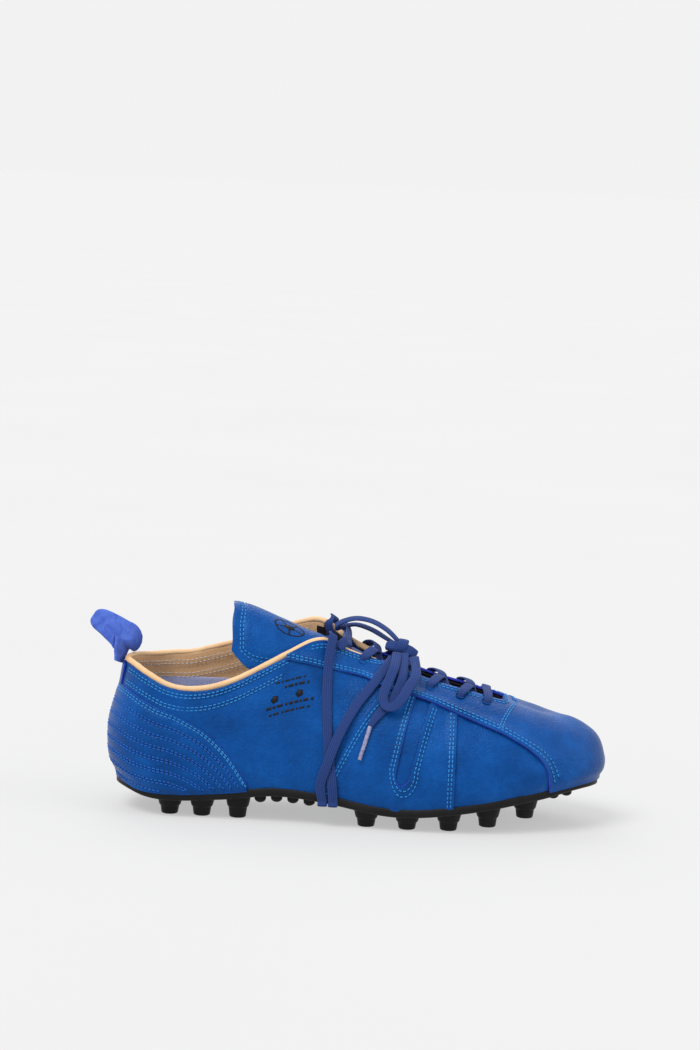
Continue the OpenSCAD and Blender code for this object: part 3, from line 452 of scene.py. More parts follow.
def gridShape(name, nu, nv, shape, mats, uvMm=None):
    # a grid whose points go where shape(u, v) says, in mm
    bm = bmesh.new()
    bmesh.ops.create_grid(bm, x_segments=nu, y_segments=nv, size=.5)
    bm.verts.ensure_lookup_table()
    uv = np.array([(v.co.x + .5, v.co.y + .5) for v in bm.verts])
    pts, outward = shape(uv[:, 0], uv[:, 1])
    for v, p in zip(bm.verts, pts / 1000):
        v.co = p
    if uvMm:
        layer = bm.loops.layers.uv.new("weave")
        for f in bm.faces:
            for loop in f.loops:
                a = uv[loop.vert.index]
                loop[layer].uv = (a[0] * uvMm[0], a[1] * uvMm[1])
    bm.normal_update()
    if sum(f.normal.dot(Vector(outward[f.verts[0].index])) for f in bm.faces) < 0:
        bmesh.ops.reverse_faces(bm, faces=bm.faces)
    bmesh.ops.remove_doubles(bm, verts=bm.verts, dist=2e-6)
    return finishMesh(bm, name, mats)


def thicken(o, mm, edgeSlot=None):
    # gives a sheet its thickness, inwards, and rounds its cut edges
    mod = o.modifiers.new("thickness", "SOLIDIFY")
    mod.thickness = mm / 1000
    mod.offset = -1
    mod.use_even_offset = False
    if edgeSlot is not None:
        mod.material_offset_rim = edgeSlot
    cut = o.modifiers.new("roundedCut", "BEVEL")
    cut.width = min(mm, 1.2) / 1000 * .3
    cut.segments = 2
    cut.limit_method = "ANGLE"
    cut.angle_limit = math.radians(50)


def mount(o, body, slot, node=None):
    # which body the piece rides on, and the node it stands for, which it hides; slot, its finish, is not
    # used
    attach(o, body)
    if node:
        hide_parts(node)


def panel(name, node, side, left, right, lo, hi, off, nu, nv, seed, soft):
    # a leather panel on one side of the shoe; left and right are s of its ends at height share q
    def shape(u, q):
        s = mix(left(q), right(q), u)
        v = mix(lo(s), hi(s), q)
        t = place(s, side)
        p0 = at(t, np.clip(v, 0, 1))
        d = off(s, side, v) + wrinkle(p0, 22, soft, seed) + wrinkle(p0, 8, soft * .35, seed + 7)
        return skin(t, v, d), normal(t, np.clip(v, 0, 1))
    o = gridShape(name, nu, nv, shape, [blueLeather, rawEdge], (60, 60))
    thicken(o, 1.3, 1)
    mount(o, "shoe", "blue_leather", node)


# camera and light
view = dict(lens=100, tall=36, place=(-.00195, -1.6741, .3656), down=6.7, roll=2.4)
cam = bpy.data.cameras.new("camera")
cam.lens = view["lens"]
cam.sensor_fit = "VERTICAL"
cam.sensor_height = view["tall"]
cam.clip_end = 900
camObject = bpy.data.objects.new("camera", cam)
bpy.context.scene.collection.objects.link(camObject)
down, roll = math.radians(view["down"]), math.radians(view["roll"])
back = Vector((0, -math.cos(down), math.sin(down)))
up0 = Vector((0, math.sin(down), math.cos(down)))
right0 = Vector((1, 0, 0))
right = right0 * math.cos(roll) + up0 * math.sin(roll)
up = -right0 * math.sin(roll) + up0 * math.cos(roll)
camObject.matrix_world = Matrix((
    (right.x, up.x, back.x, view["place"][0]), (right.y, up.y, back.y, view["place"][1]),
    (right.z, up.z, back.z, view["place"][2]), (0, 0, 0, 1)))
bpy.context.scene.camera = camObject

world = bpy.data.worlds.new("studio")
bpy.context.scene.world = world
world.use_nodes = True
world.node_tree.nodes["Background"].inputs["Color"].default_value = (1, 1, 1, 1)
world.node_tree.nodes["Background"].inputs["Strength"].default_value = .89
bpy.context.scene.view_settings.view_transform = "Standard"
bpy.context.scene.view_settings.look = "None"

# broad soft panels far off, so that the floor is lit evenly: name, place, strength, width in degrees
panelsOfLight = [
    ("keyPanel", (-.9, -1.1, 2.0), 2.2, 30),
    ("toePanel", (1.9, -.6, 1.1), .5, 36),
    ("backPanel", (-.4, 1.8, 1.7), .8, 40)]
for name, spot, power, wide in panelsOfLight:
    lamp = bpy.data.lights.new(name, "SUN")
    lamp.energy = power
    lamp.angle = math.radians(wide)
    lampObject = bpy.data.objects.new(name, lamp)
    bpy.context.scene.collection.objects.link(lampObject)
    lampObject.location = spot
    lampObject.rotation_euler = (-Vector(spot)).to_track_quat("-Z", "Y").to_euler()

# matt painted sweep, toned so that it reads as bright as the wall behind it
floorMat, floorTree, floorShader = newMaterial("matWhiteSweep", {
    "Roughness": 1, "IOR": 1.4, "Specular IOR Level": 0, "Emission Color": (1, 1, 1, 1),
    "Emission Strength": .45})
floorNoise = addNode(floorTree, "ShaderNodeTexNoise", {"Scale": 3, "Detail": 2},
                     {"Vector": addNode(floorTree, "ShaderNodeTexCoord").outputs["Object"]})
floorTone = ramp(floorTree, floorNoise.outputs["Fac"],
                 [(.3, (.258, .258, .258, 1)), (.7, (.264, .264, .264, 1))])
floorTree.links.new(floorTone, floorShader.inputs["Base Color"])
bm = bmesh.new()
bmesh.ops.create_grid(bm, x_segments=1, y_segments=1, size=400)
floor = finishMesh(bm, "studioFloor", [floorMat], False)
print("camera and light set")


# lace
lace = dict(material=laceWeave, slot="lace_weave", body="shoe", wide=5.6, thick=1.4, sides=14, per=6,
            ridge=.12, squeezed=True)


def onShoe(side, s, v, off, keep=1.0):
    # a route row: point off mm over the shoe, the strand's facing, and its share of the full width
    t = place(s, side)
    w = min(v, 1)
    return [skin(t, w, np.float64(off)), normal(t, w), keep]


def inHole(side, e, off, way):
    # in a hole the strand's face turns to the ridge or away from it
    t = place(e[0], side)
    return [skin(t, e[1], np.float64(off)), way * unit(at(t, e[1] + .006) - at(t, e[1] - .006)), .68]


def inAir(p, facing, keep=1.0):
    # p is x from the middle of the upper, y across the shoe and z up from the ground
    p = np.array([p[0] + heelX + shoe["length"] / 2, p[1], p[2]], float)
    return [p, unit(np.array(facing, float)), keep]


def smoothRun(rows, per):
    # one smooth curve through the rows, with per steps between two
    out = []
    n = len(rows) - 1
    for i in range(n):
        a, b, c, d = rows[max(0, i - 1)], rows[i], rows[i + 1], rows[min(n, i + 2)]
        for k in range(per):
            f = k / per
            p = .5 * (2 * b[0] + (c[0] - a[0]) * f + (2 * a[0] - 5 * b[0] + 4 * c[0] - d[0]) * f * f
                      + (3 * b[0] - a[0] - 3 * c[0] + d[0]) * f ** 3)
            out.append((p, unit(mix(b[1], c[1], f)), mix(b[2], c[2], f)))
    out.append(tuple(rows[n]))
    return out


def strand(name, rows, node, size=None):
    # a flat woven strand along its route, rounded at its edges, with a closed end
    size = {**lace, **(size or {})}
    wide, thick = size["wide"], size["thick"]
    run = smoothRun(rows, size["per"])
    pts = np.array([r[0] for r in run])
    gap = np.linalg.norm(np.diff(pts, axis=0), axis=1)
    far = np.concatenate([[0], np.cumsum(gap)])
    n = len(run)
    tangent = unit(np.gradient(pts, axis=0))
    flat = unit(np.cross(np.array([r[1] for r in run]), tangent))
    face = np.cross(tangent, flat)
    keep = np.array([r[2] for r in run])

    def shape(u, v):
        i = np.clip(np.round(u * (n - 1)).astype(int), 0, n - 1)
        a = 2 * np.pi * v
        c, d = np.cos(a), np.sin(a)
        w = np.sign(c) * np.abs(c) ** .6 * wide / 2 * keep[i]
        h = np.sign(d) * np.abs(d) ** .75 * thick / 2 * (1 - size["ridge"] * np.exp(-(c / .16) ** 2))
        if size["squeezed"]:
            h = h / np.sqrt(keep[i])
        p = pts[i] + flat[i] * w[:, None] + face[i] * h[:, None]
        return p, p - pts[i]
    o = gridShape(name, n - 1, size["sides"], shape, [size["material"]])
    bm = bmesh.new()
    bm.from_mesh(o.data)
    bmesh.ops.holes_fill(bm, edges=[e for e in bm.edges if e.is_boundary], sides=0)
    layer = bm.loops.layers.uv.new("weave")
    tree = pts / 1000
    for f in bm.faces:
        for loop in f.loops:
            q = np.array(loop.vert.co)
            i = int(np.argmin(((tree - q) ** 2).sum(1)))
            loop[layer].uv = (float((q * 1000 - pts[i]) @ flat[i]) + wide, far[i])
    bmesh.ops.recalc_face_normals(bm, faces=bm.faces)
    bm.to_mesh(o.data)
    bm.free()
    o.data.shade_smooth()
    mount(o, size["body"], size["slot"], node)
    return o, pts / 1000, float(far[-1]) / 1000


def crossing(side, a, b):
    # up out of hole a, over the facing and the throat, and under the other facing to hole b
    lift = 1.1 if side > 0 else -.2
    return [
        inHole(side, a, .6, -1), onShoe(side, a[0] + .002, a[1] + .025, 3.2, .8),
        onShoe(side, mix(a[0], b[0], .14), mix(a[1], 1, .3), 3.4),
        onShoe(side, mix(a[0], b[0], .3), mix(a[1], 1, .62), 3.2),
        onShoe(side, mix(a[0], b[0], .42), .985, 1.2 + lift),
        onShoe(-side, mix(a[0], b[0], .54), .985, -1.9 + lift),
        onShoe(-side, mix(a[0], b[0], .68), mix(b[1], 1, .66), -3.2),
        onShoe(-side, mix(a[0], b[0], .82), mix(b[1], 1, .4), -3.4, .9),
        onShoe(-side, b[0] - .004, b[1] + .03, -3.1, .8), inHole(-side, b, -1.4, 1)]


def toeBar(e):
    # the straight run between the last two holes
    return [
        inHole(1, e, .6, -1), onShoe(1, e[0] + .003, e[1] + .03, 3.1, .8),
        onShoe(1, e[0] + .007, mix(e[1], 1, .5), 3.1), onShoe(1, e[0] + .009, .97, 2.6),
        onShoe(-1, e[0] + .009, .97, 2.6), onShoe(-1, e[0] + .007, mix(e[1], 1, .5), 3.1),
        onShoe(-1, e[0] + .003, e[1] + .03, 3.1, .8), inHole(-1, e, .6, -1)]


def zigzag(first):
    pairs = zip(holes, holes[1:])
    return [crossing(first if k % 2 == 0 else -first, a, b) for k, (a, b) in enumerate(pairs)]


runs = zigzag(-1) + [toeBar(holes[-1])] + [r[::-1] for r in zigzag(1)[::-1]]
rows = [[p, n if k % 2 == 0 else -n, w] for k, r in enumerate(runs) for p, n, w in r]
_, _, crossLong = strand("laceCrossings", rows, "lace_crossings")

# the two turns round the waist: out of the first holes, down the side, under the arch and up to the knot
archZ = float(soleZ(.44)) - 5
top = holes[0]


def rimY(s, side, out):
    return side * (float(baseW(s, side) * ends(s)) + 2 + out)


turnA, turnB, wrapGap = -12.4, -18.4, 1.4
wrapA = [
    onShoe(-1, top[0] + .006, top[1] - .01, -2.9, .8), onShoe(-1, top[0] - .004, .95, -3.8, .9),
    onShoe(-1, .438, 1, -2.2), onShoe(-1, .436, 1, 4.6), onShoe(-1, .434, .95, 5.4),
    onShoe(-1, .433, .88, 4.9), onShoe(-1, .434, .72, 3.3), onShoe(-1, .438, .5, 3),
    onShoe(-1, .446, .25, 3), onShoe(-1, .455, .08, 3.4),
    inAir([turnA, rimY(.455, -1, wrapGap), archZ + 2], [0, -1, 0]),
    inAir([turnA, rimY(.455, -1, .3), archZ - 1.1], [0, -1, -1]),
    inAir([turnA, -24, archZ - wrapGap], [0, 0, -1]), inAir([turnA, 0, archZ - wrapGap], [0, 0, -1]),
    inAir([turnA, 20, archZ - wrapGap], [0, 0, -1]),
    inAir([turnA, rimY(.455, 1, .3), archZ - 1.1], [0, 1, -1]),
    inAir([turnA, rimY(.455, 1, wrapGap), archZ + 2], [0, 1, 0]),
    onShoe(1, .458, .08, 3.4), onShoe(1, .474, .25, 3), onShoe(1, .502, .45, 3), onShoe(1, .535, .65, 3.2),
    onShoe(1, .56, .8, 4.6), onShoe(1, .572, .92, 5.6)]
wrapB = [
    onShoe(1, top[0] + .006, top[1] - .01, -2.9, .8), onShoe(1, top[0] - .004, .95, -3.8, .9),
    onShoe(1, .438, 1, -2.2), onShoe(1, .436, 1, 4.6),
    onShoe(1, .434, .95, 5.4), onShoe(1, .433, .88, 4.9),
    onShoe(1, .432, .72, 3.3), onShoe(1, .431, .5, 3), onShoe(1, .432, .25, 3), onShoe(1, .434, .08, 3.4),
    inAir([turnB, rimY(.435, 1, wrapGap), archZ + 2], [0, 1, 0]),
    inAir([turnB, rimY(.435, 1, .3), archZ - 1.1], [0, 1, -1]),
    inAir([turnB, 20, archZ - wrapGap], [0, 0, -1]), inAir([turnB, 0, archZ - wrapGap], [0, 0, -1]),
    inAir([turnB, -24, archZ - wrapGap], [0, 0, -1]),
    inAir([turnB, rimY(.435, -1, .3), archZ - 1.1], [0, -1, -1]),
    inAir([turnB, rimY(.435, -1, wrapGap), archZ + 2], [0, -1, 0]),
    onShoe(-1, .433, .07, 4), onShoe(-1, .447, .2, 5.2), onShoe(-1, .466, .34, 4.8),
    onShoe(-1, .495, .48, 3.4), onShoe(-1, .53, .62, 3.6), onShoe(-1, .55, .76, 4.2),
    onShoe(-1, .561, .87, 4.4)]
_, _, longA = strand("laceWrapOuter", wrapA, "lace_wrap")
_, _, longB = strand("laceWrapInner", wrapB, "lace_wrap")
print("lace lengths mm", round(crossLong * 1000), round(longA * 1000), round(longB * 1000))

# the free loops and ends
bowFar = [
    inAir([23.5, 2.5, 99.5], [.6, -.3, .8], .8), inAir([19.5, 3.5, 104], [.6, -.3, .8]),
    inAir([14, 5, 108.5], [.4, -.3, .9]), inAir([6, 7, 112.3], [.2, -.3, 1]),
    inAir([-3, 8.5, 113.4], [-.1, -.3, 1]), inAir([-11, 10, 111], [-.5, -.3, .8]),
    inAir([-15, 11, 108], [-1, -.1, .1]),
    inAir([-11, 13.5, 107.6], [-.3, .2, -1]), inAir([-3, 14.6, 108.8], [.1, .2, -1]),
    inAir([6, 12, 106.6], [-.1, .2, -1]), inAir([14, 8, 102.8], [-.3, .2, -1]),
    inAir([19, 7.5, 100], [-.4, .2, -1]), inAir([22.5, 6.5, 98], [-.4, .2, -1], .8)]
bowNear = [
    inAir([21, -11, 97], [0, -1, .6]), onShoe(-1, .562, .73, 7.4), onShoe(-1, .554, .62, 6.2),
    onShoe(-1, .547, .535, 5.4), onShoe(-1, .552, .48, 5.6), onShoe(-1, .568, .48, 7.4),
    onShoe(-1, .583, .53, 9.2), onShoe(-1, .595, .62, 9.4), onShoe(-1, .606, .72, 8.8),
    inAir([31, -11, 95], [0, -1, .4])]
endOuter = [
    inAir([25, -9, 96.5], [0, -1, .6]), onShoe(-1, .582, .72, 5.6), onShoe(-1, .577, .62, 4.2),
    onShoe(-1, .565, .53, 3.3), onShoe(-1, .548, .46, 3.3), onShoe(-1, .533, .4, 3.3, .8),
    onShoe(-1, .526, .365, 3.3, .5)]
endInner = [
    inAir([29, 9.5, 94], [0, 1, .6]), onShoe(1, .606, .76, 4.6), onShoe(1, .61, .66, 3.4),
    onShoe(1, .61, .54, 3.3), onShoe(1, .606, .42, 3.3), onShoe(1, .6, .32, 3.3, .8),
    onShoe(1, .598, .27, 3.3, .5)]


def agletPiece(name, side, a, b):
    # a film tube between two points on the shoe, each as share of the length, height share and mm over it
    p0 = skin(place(a[0], side), a[1], np.float64(a[2]))
    p1 = skin(place(b[0], side), b[1], np.float64(b[2]))
    line = Vector(p1 - p0) / 1000
    bm = bmesh.new()
    bmesh.ops.create_cone(bm, cap_ends=True, segments=20, radius1=.00125, radius2=.0011,
                          depth=line.length)
    rims = [e for e in bm.edges if abs(e.verts[0].co.z - e.verts[1].co.z) < 1e-6]
    bmesh.ops.bevel(bm, geom=rims, offset=.0003, segments=2, profile=.5, affect="EDGES", material=-1)
    turn = line.to_track_quat("Z", "Y").to_matrix().to_4x4()
    middle = Matrix.Translation((Vector(p0) + Vector(p1)) / 2000)
    bmesh.ops.transform(bm, matrix=middle @ turn, verts=bm.verts)
    o = finishMesh(bm, name, [agletFilm])
    mount(o, "shoe", "aglet_film", "aglets")
    return o


agletOuter = agletPiece("agletOuter", -1, (.526, .365, 3.3), (.508, .2, 3.6))
agletInner = agletPiece("agletInner", 1, (.598, .27, 3.3), (.592, .12, 3.6))
for name, route, node, end, extra in [
        ("laceBowFar", bowFar, "lace_bow_far", "object", []),
        ("laceBowNear", bowNear, "lace_bow_near", "object", []),
        ("laceEndOuter", endOuter, "lace_end_lateral", "fitting", [agletOuter]),
        ("laceEndInner", endInner, "lace_end_medial", "fitting", [agletInner])]:
    piece, line, long = strand(name, route, node)
    tuple(line[0])
    [tuple(p) for p in line]
    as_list(extra)
    print(name, "length mm", round(long * 1000, 1))

# the knot: one flat turn round the middle, over a tight bundle of the strands it holds
knot = dict(x=24.5, z=98.5, wide=5.2, high=4.6)
kx, kz = knot["x"], knot["z"]
turnRows = [inAir([kx - 1.2 + 1.6 * math.sin(a), -knot["wide"] * math.cos(a) - 1,
                   kz + knot["high"] * math.sin(a)], [.15, -math.cos(a), math.sin(a)])
            for a in np.linspace(-.6, 2 * math.pi - .7, 17)]
strand("laceKnotTurn", turnRows, "lace_knot", dict(wide=6.2, thick=1.5))
coreRows = [inAir([kx - 9.5, -3, kz + 1.2], [0, -.8, .8], .8),
            inAir([kx - 6, -4.5, kz + 1.6], [0, -.9, .7]),
            inAir([kx - 1, -4.2, kz + .6], [0, -1, .5]), inAir([kx + 4, -4.6, kz - 1.2], [0, -1, .5]),
            inAir([kx + 7.5, -3.4, kz - 3.4], [.4, -1, .3], .8)]
strand("laceKnotCore", coreRows, "lace_knot", dict(wide=6.6, thick=3.2, squeezed=False))
print("lace made")

# upper: leather panels
for side, tag, word in ((-1, "Outer", "lateral"), (1, "Inner", "medial")):
    panel("quarter" + tag, "quarter_" + word, side, lambda q: np.full_like(q, .00002),
          lambda q: waistSeam(q) + .03, lambda s: np.full_like(s, -.015),
          lambda s: np.minimum(np.where(s < .345, 2, curve(vampSeam, s) + .07), 1 - 2.4 / wallH(s)),
          quarterOff, 120, 60, seed=2.0 + side, soft=.55)
    panel("frontPanel" + tag, "front_panel_" + word, side, lambda q: np.full_like(q, .685),
          lambda q: np.full_like(q, .893), lambda s: np.full_like(s, -.015),
          lambda s: curve(vampSeam, s) + .03, frontOff, 50, 40, seed=4.0 + side, soft=.9)
    panel("windowBacking" + tag, "window_backing_" + word, side, lambda q: mix(.55, .585, q),
          lambda q: mix(.61, .66, q), lambda s: np.full_like(s, .05), lambda s: curve(vampSeam, s) + .02,
          lambda s, sd, v: 1.35 + 0 * s, 20, 40, seed=6.0 + side, soft=.3)

    def windowEdge(q, way):
        # the window's own height share runs from its foot to the seam
        return windowMid(q) + way * windowHalf((q * .6 - windowFoot) / .5)

    # left and right of the window and the foot below it, as one cut piece
    bm = bmesh.new()
    parts = [
        (waistSeam, lambda q: windowEdge(q, -1), 34, 90),
        (lambda q: windowEdge(q, -1), lambda q: windowEdge(q, 1), 12, 90),
        (lambda q: windowEdge(q, 1), lambda q: np.full_like(q, panelFront), 34, 90)]
    for k, (rear, front, nu, nv) in enumerate(parts):
        def shape(u, q, rear=rear, front=front, k=k):
            if k == 1:
                q = q * .11 / .6 * 1.03
            s = mix(rear(q), front(q), u)
            v = mix(-.015, curve(vampSeam, s) + .03, q)
            t = place(s, side)
            p0 = at(t, np.clip(v, 0, 1))
            d = panelOff(s, side, v) + wrinkle(p0, 22, .4, 8.0 + side) + wrinkle(p0, 8, .14, 15.0 + side)
            return skin(t, v, d), normal(t, np.clip(v, 0, 1))
        part = gridShape("strip", nu, nv, shape, [blueLeather, rawEdge])
        bm.from_mesh(part.data)
        bpy.data.objects.remove(part)
    bmesh.ops.remove_doubles(bm, verts=bm.verts, dist=1e-4)
    o = finishMesh(bm, "sidePanel" + tag, [blueLeather, rawEdge])
    thicken(o, 1.2, 1)
    mount(o, "shoe", "blue_leather", "side_panel_" + word)


def vampShape(u, q):
    # even steps along the length, closer near the throat's end
    a = math.acos(1 - 2 * .352) / math.pi
    t = -(a + (1 - a) * 2 * u)
    s = share(t)
    side = sideOf(t)
    lo = np.where(s < .89, curve(vampSeam, s), -.015)
    hi = np.where(s > throatEnd, 1.0, curve(facingEdge, s) - np.where(s < .54, 2.2, .3) / wallH(s))
    v = mix(lo, hi, q)
    p0 = at(t, np.clip(v, 0, 1))
    d = vampOff(s, side, v) + wrinkle(p0, 26, .5, 11.0) + wrinkle(p0, 9, .12, 17.0)
    return skin(t, v, d), normal(t, np.clip(v, 0, 1))


vamp = gridShape("vamp", 220, 56, vampShape, [blueLeather, rawEdge, holeShade])
thicken(vamp, 1.3, 1)
mount(vamp, "shoe", "blue_leather", "vamp")


def aroundHeel(name, node, reach, lo, hi, off, nu, nv, thick, mats, slot, seed, soft=.2):
    # a piece that wraps round the heel to share reach of the length; a thick below 0 faces inwards
    def shape(u, q):
        t = mix(place(reach, -1), place(reach, 1), u)
        s = share(t)
        v = mix(lo(s), hi(s), q)
        p0 = at(t, np.clip(v, 0, 1))
        d = off(s, sideOf(t), v) + wrinkle(p0, 20, soft, seed)
        return skin(t, v, d), normal(t, np.clip(v, 0, 1)) * (1 if thick > 0 else -1)
    o = gridShape(name, nu, nv, shape, mats, (200, 70))
    thicken(o, abs(thick), 1)
    mount(o, "shoe", slot, node)


aroundHeel("heelOverlay", "heel_overlay", .284, lambda s: np.full_like(s, -.015),
           lambda s: curve(overlayEdge, s), overlayOff, 180, 90, 1.2,
           [blueLeather, rawEdge], "blue_leather", 21.0)
aroundHeel("backStrip", "back_strip", .0052, lambda s: curve(overlayEdge, s) - .02,
           lambda s: np.full_like(s, .93), lambda s, sd, v: 2.6 + 0 * s, 12, 20, 1.1,
           [blueLeather, rawEdge], "blue_leather", 23.0)
aroundHeel("collarLining", "collar_lining", .425, lambda s: np.full_like(s, .02),
           lambda s: 1 - 2.2 / wallH(s), lambda s, sd, v: -1.7 + 0 * s, 130, 40, -1.1,
           [tanLeather, tanLeather], "tan_leather", 25.0, .5)


def closeEnds(o, outward=False):
    # caps the open ends of a swept piece
    bm = bmesh.new()
    bm.from_mesh(o.data)
    bmesh.ops.holes_fill(bm, edges=[e for e in bm.edges if e.is_boundary], sides=0)
    if outward:
        bmesh.ops.recalc_face_normals(bm, faces=bm.faces)
    bm.to_mesh(o.data)
    bm.free()
    o.data.shade_smooth()


def bindingShape(u, w):
    # a rolled leather edge round the mouth, a little flattened and uneven
    t = mix(place(.53, -1), place(.53, 1), u)
    s = share(t)
    v = rimV(s)
    a = 2 * np.pi * w
    p = skin(t, v, np.full_like(s, -.1))
    n = normal(t, v)
    along = unit(at(t + .004, v) - at(t - .004, v))
    across = unit(np.cross(along, n))
    r = bindR * (1 + .02 * np.sin(u * 240)) + wrinkle(p, 6, .12, 31.0)
    flat = 1 - .12 * np.abs(np.sin(a))
    q = p + (n * np.cos(a)[:, None] + across * np.sin(a)[:, None]) * (r * flat)[:, None]
    return q, q - p


binding = gridShape("collarBinding", 300, 18, bindingShape, [bindingLeather])
closeEnds(binding)
mount(binding, "shoe", "tan_leather", "collar_binding")


def throatLining(u, q):
    a = math.acos(1 - 2 * .43) / math.pi
    t = -(a + (1 - a) * 2 * u)
    s = share(t)
    hi = np.where(s > throatEnd, 1.0, curve(facingEdge, s) - .02)
    v = mix(.02, hi, q)
    return skin(t, v, np.full_like(s, -1.75)), -normal(t, v)


lining = gridShape("forefootLining", 120, 40, throatLining, [blackKnit], (400, 80))
thicken(lining, 1.0)
mount(lining, "shoe", "black_textile", "forefoot_lining")

# the sock liner: a foam bed under cloth, with a thin cup that runs up the wall round the heel
liner = dict(low=3.8, thick=3.4, inset=7.3, cupTop=72, cupThick=.7)


def linerBed(u, w):
    t = mix(place(.006, 1), place(.994, 1), u)
    s = share(t)
    r = 2 * w - 1
    half = np.maximum(.2, baseW(s, np.sign(r)) * ends(s) - liner["inset"])
    x = at(place(s, 1), np.zeros_like(s))[..., 0]
    hollow = .5 * np.cos(np.pi * r / 2) * np.sin(np.pi * s)
    hollow = hollow + wrinkle(np.stack([x, r * half, 0 * x], -1), 30, .3, 61)
    p = np.stack([x, r * half, soleZ(s) + liner["low"] + liner["thick"] - .6 - hollow * .5], -1)
    return p, np.tile([0.0, 0, 1], (len(s), 1))


bed = gridShape("sockLiner", 110, 36, linerBed, [linerCloth], (270, 80))
thicken(bed, liner["thick"] - .8)
mount(bed, "shoe", "foam_liner", "insole")


def linerCup(u, q):
    t = mix(place(.42, -1), place(.42, 1), u)
    s = share(t)
    rim = (liner["cupTop"] - 3 * ease((s - .25) / .15) - soleZ(s)) / (topZ(s, sideOf(t)) - soleZ(s))
    v = mix(.09, rim, q)
    p0 = at(t, v)
    d = linerFace - .25 + wrinkle(p0, 20, .35, 63.0)
    return skin(t, v, d), -normal(t, v)


cup = gridShape("sockLinerCup", 120, 24, linerCup, [linerCloth], (260, 45))
thicken(cup, liner["cupThick"])
mount(cup, "shoe", "foam_liner")

# punched lace holes: a dark round mouth under each turn of the lace, a shallow cup with a closed floor,
# painted near black as the shade inside the hole
bm = bmesh.new()
for side in (-1, 1):
    for s0, v0 in holes:
        t = place(s0, side)
        off = vampOff(np.float64(s0), side, np.float64(v0)) + .32
        spot = Vector(skin(t, v0, off)) / 1000
        n = Vector(normal(t, v0))
        turn = n.to_track_quat("Z", "Y").to_matrix().to_4x4()
        ring = bmesh.ops.create_circle(bm, cap_ends=False, segments=24, radius=.00265,
                                       matrix=Matrix.Translation(spot) @ turn)["verts"]
        edges = list({e for v in ring for e in v.link_edges})
        inner = bmesh.ops.extrude_edge_only(bm, edges=edges)["geom"]
        deep = [g for g in inner if isinstance(g, bmesh.types.BMVert)]
        bmesh.ops.translate(bm, verts=deep, vec=-n * .0009)
        bmesh.ops.contextual_create(bm, geom=[g for g in inner if isinstance(g, bmesh.types.BMEdge)])
bmesh.ops.recalc_face_normals(bm, faces=bm.faces)
mouths = finishMesh(bm, "laceHoleMouths", [holeShade], False)
mount(mouths, "shoe", "blue_leather")
print("upper made")

# tongue: rise of its middle over the instep, half width and arch, each along the shoe
tongueSize = dict(long=160, wide=80, top=1.4, free=.24, sewn=.81)
tongueRise = [(.24, 15), (.29, 11.5), (.34, 6), (.4, -.5), (.5, -9), (1, -9)]
tongueHalf = [(.24, 22), (.29, 22), (.34, 20.5), (.4, 19.5), (.465, 21), (.525, 24), (.58, 26), (.65, 25),
              (.725, 20), (.81, 13)]
tongueArch = [(.24, 42), (.29, 40), (.34, 34), (.4, 27), (.465, 21), (.525, 18), (.58, 16), (.65, 12),
              (.725, 7), (.81, 3)]


def tonguePoint(s, a, off):
    w, d = curve(tongueHalf, s), curve(tongueArch, s)
    z = mix(shoe["instep"] + curve(tongueRise, s), topZ(s, -1) - 5.2, ease((s - .4) / .1))
    x = at(place(s, 1), np.full_like(s, .95))[..., 0]
    return np.stack([x, (w + off) * np.sin(a), z - 1.4 - d + (d + off) * np.cos(a)], -1)


def tongueAngle(u):
    i = u * 20
    return np.radians(80 - 14 * np.maximum(0, 1 - i / 2) ** 2)


def tongueShape(u, q, off=tongueSize["top"], shy=0.0):
    s = mix(tongueSize["free"] + shy, tongueSize["sewn"], u)
    a = (tongueAngle(u) - shy * 3) * (2 * q - 1)
    # the free edge is cut by hand and curls a little
    s = s + .0011 * np.sin(q * 23) * (1 - u) ** 8
    p = tonguePoint(s, a, np.full_like(s, off))
    edge = np.minimum(np.minimum(q, 1 - q) * tongueSize["wide"], u * tongueSize["long"])
    n = unit(p - tonguePoint(s, a, np.full_like(s, off - 1)))
    groove = -.5 * np.exp(-((edge - 5.5) / 1.6) ** 2)
    d = groove + wrinkle(p, 18, .6, 41.0) + wrinkle(p, 7, .15, 43.0)
    return p + n * d[:, None], n


tongue = gridShape("tongue", 150, 70, tongueShape, [blueLeather, rawEdge])
thicken(tongue, 1.5, 1)
mount(tongue, "tongue", "blue_leather", "tongue")


def tongueBackShape(u, q):
    p, n = tongueShape(u, q, -.25, .006)
    return p, -n


tongueBack = gridShape("tongueLining", 100, 50, tongueBackShape, [throatCloth], (160, 80))
thicken(tongueBack, 1.0)
mount(tongueBack, "tongue", "black_textile", "tongue_lining")

# pull tab, a suede strip that leans back and twists to the outer side; its rows are
# share of the reach, sideways, up, facing and share of the width
tabSize = dict(wide=17.5, thick=3, gap=.4)
tabRows = [(.1, 3, -1, (-1, .15, 0), 1.05), (.08, 3.5, 1.2, (-1, .2, 0), 1.08),
           (.04, 4, 4, (-1, .3, 0), 1.08),
           (-.04, 4, 8, (-.9, .45, .1), 1.08), (-.17, 5, 12, (-.5, .85, -.15), 1.2),
           (.08, 4.5, 15.5, (-.3, .9, -.35), 1.04), (.58, 4.5, 20.5, (-.2, .95, -.3), .86),
           (.94, 4, 23.5, (-.15, .95, -.25), .74), (1.12, 4, 25, (-.15, .95, -.25), .56),
           (1.2, 4, 25.7, (-.15, .95, -.25), .3)]
tabFoot = skin(place(0, 1), np.float64(.93), np.float64(bindR + tabSize["gap"] + tabSize["thick"] / 2))
tabRoute = [[tabFoot + np.array([-back * shoe["tabReach"], aside, up]), unit(np.array(facing, float)), keep]
            for back, aside, up, facing, keep in tabRows]
strand("pullTab", tabRoute, "pull_tab",
       dict(material=tabSuede, slot="suede", body="pull_tab", wide=tabSize["wide"], thick=tabSize["thick"],
            per=8, sides=24, ridge=0, squeezed=False))
print("tongue and tab made")


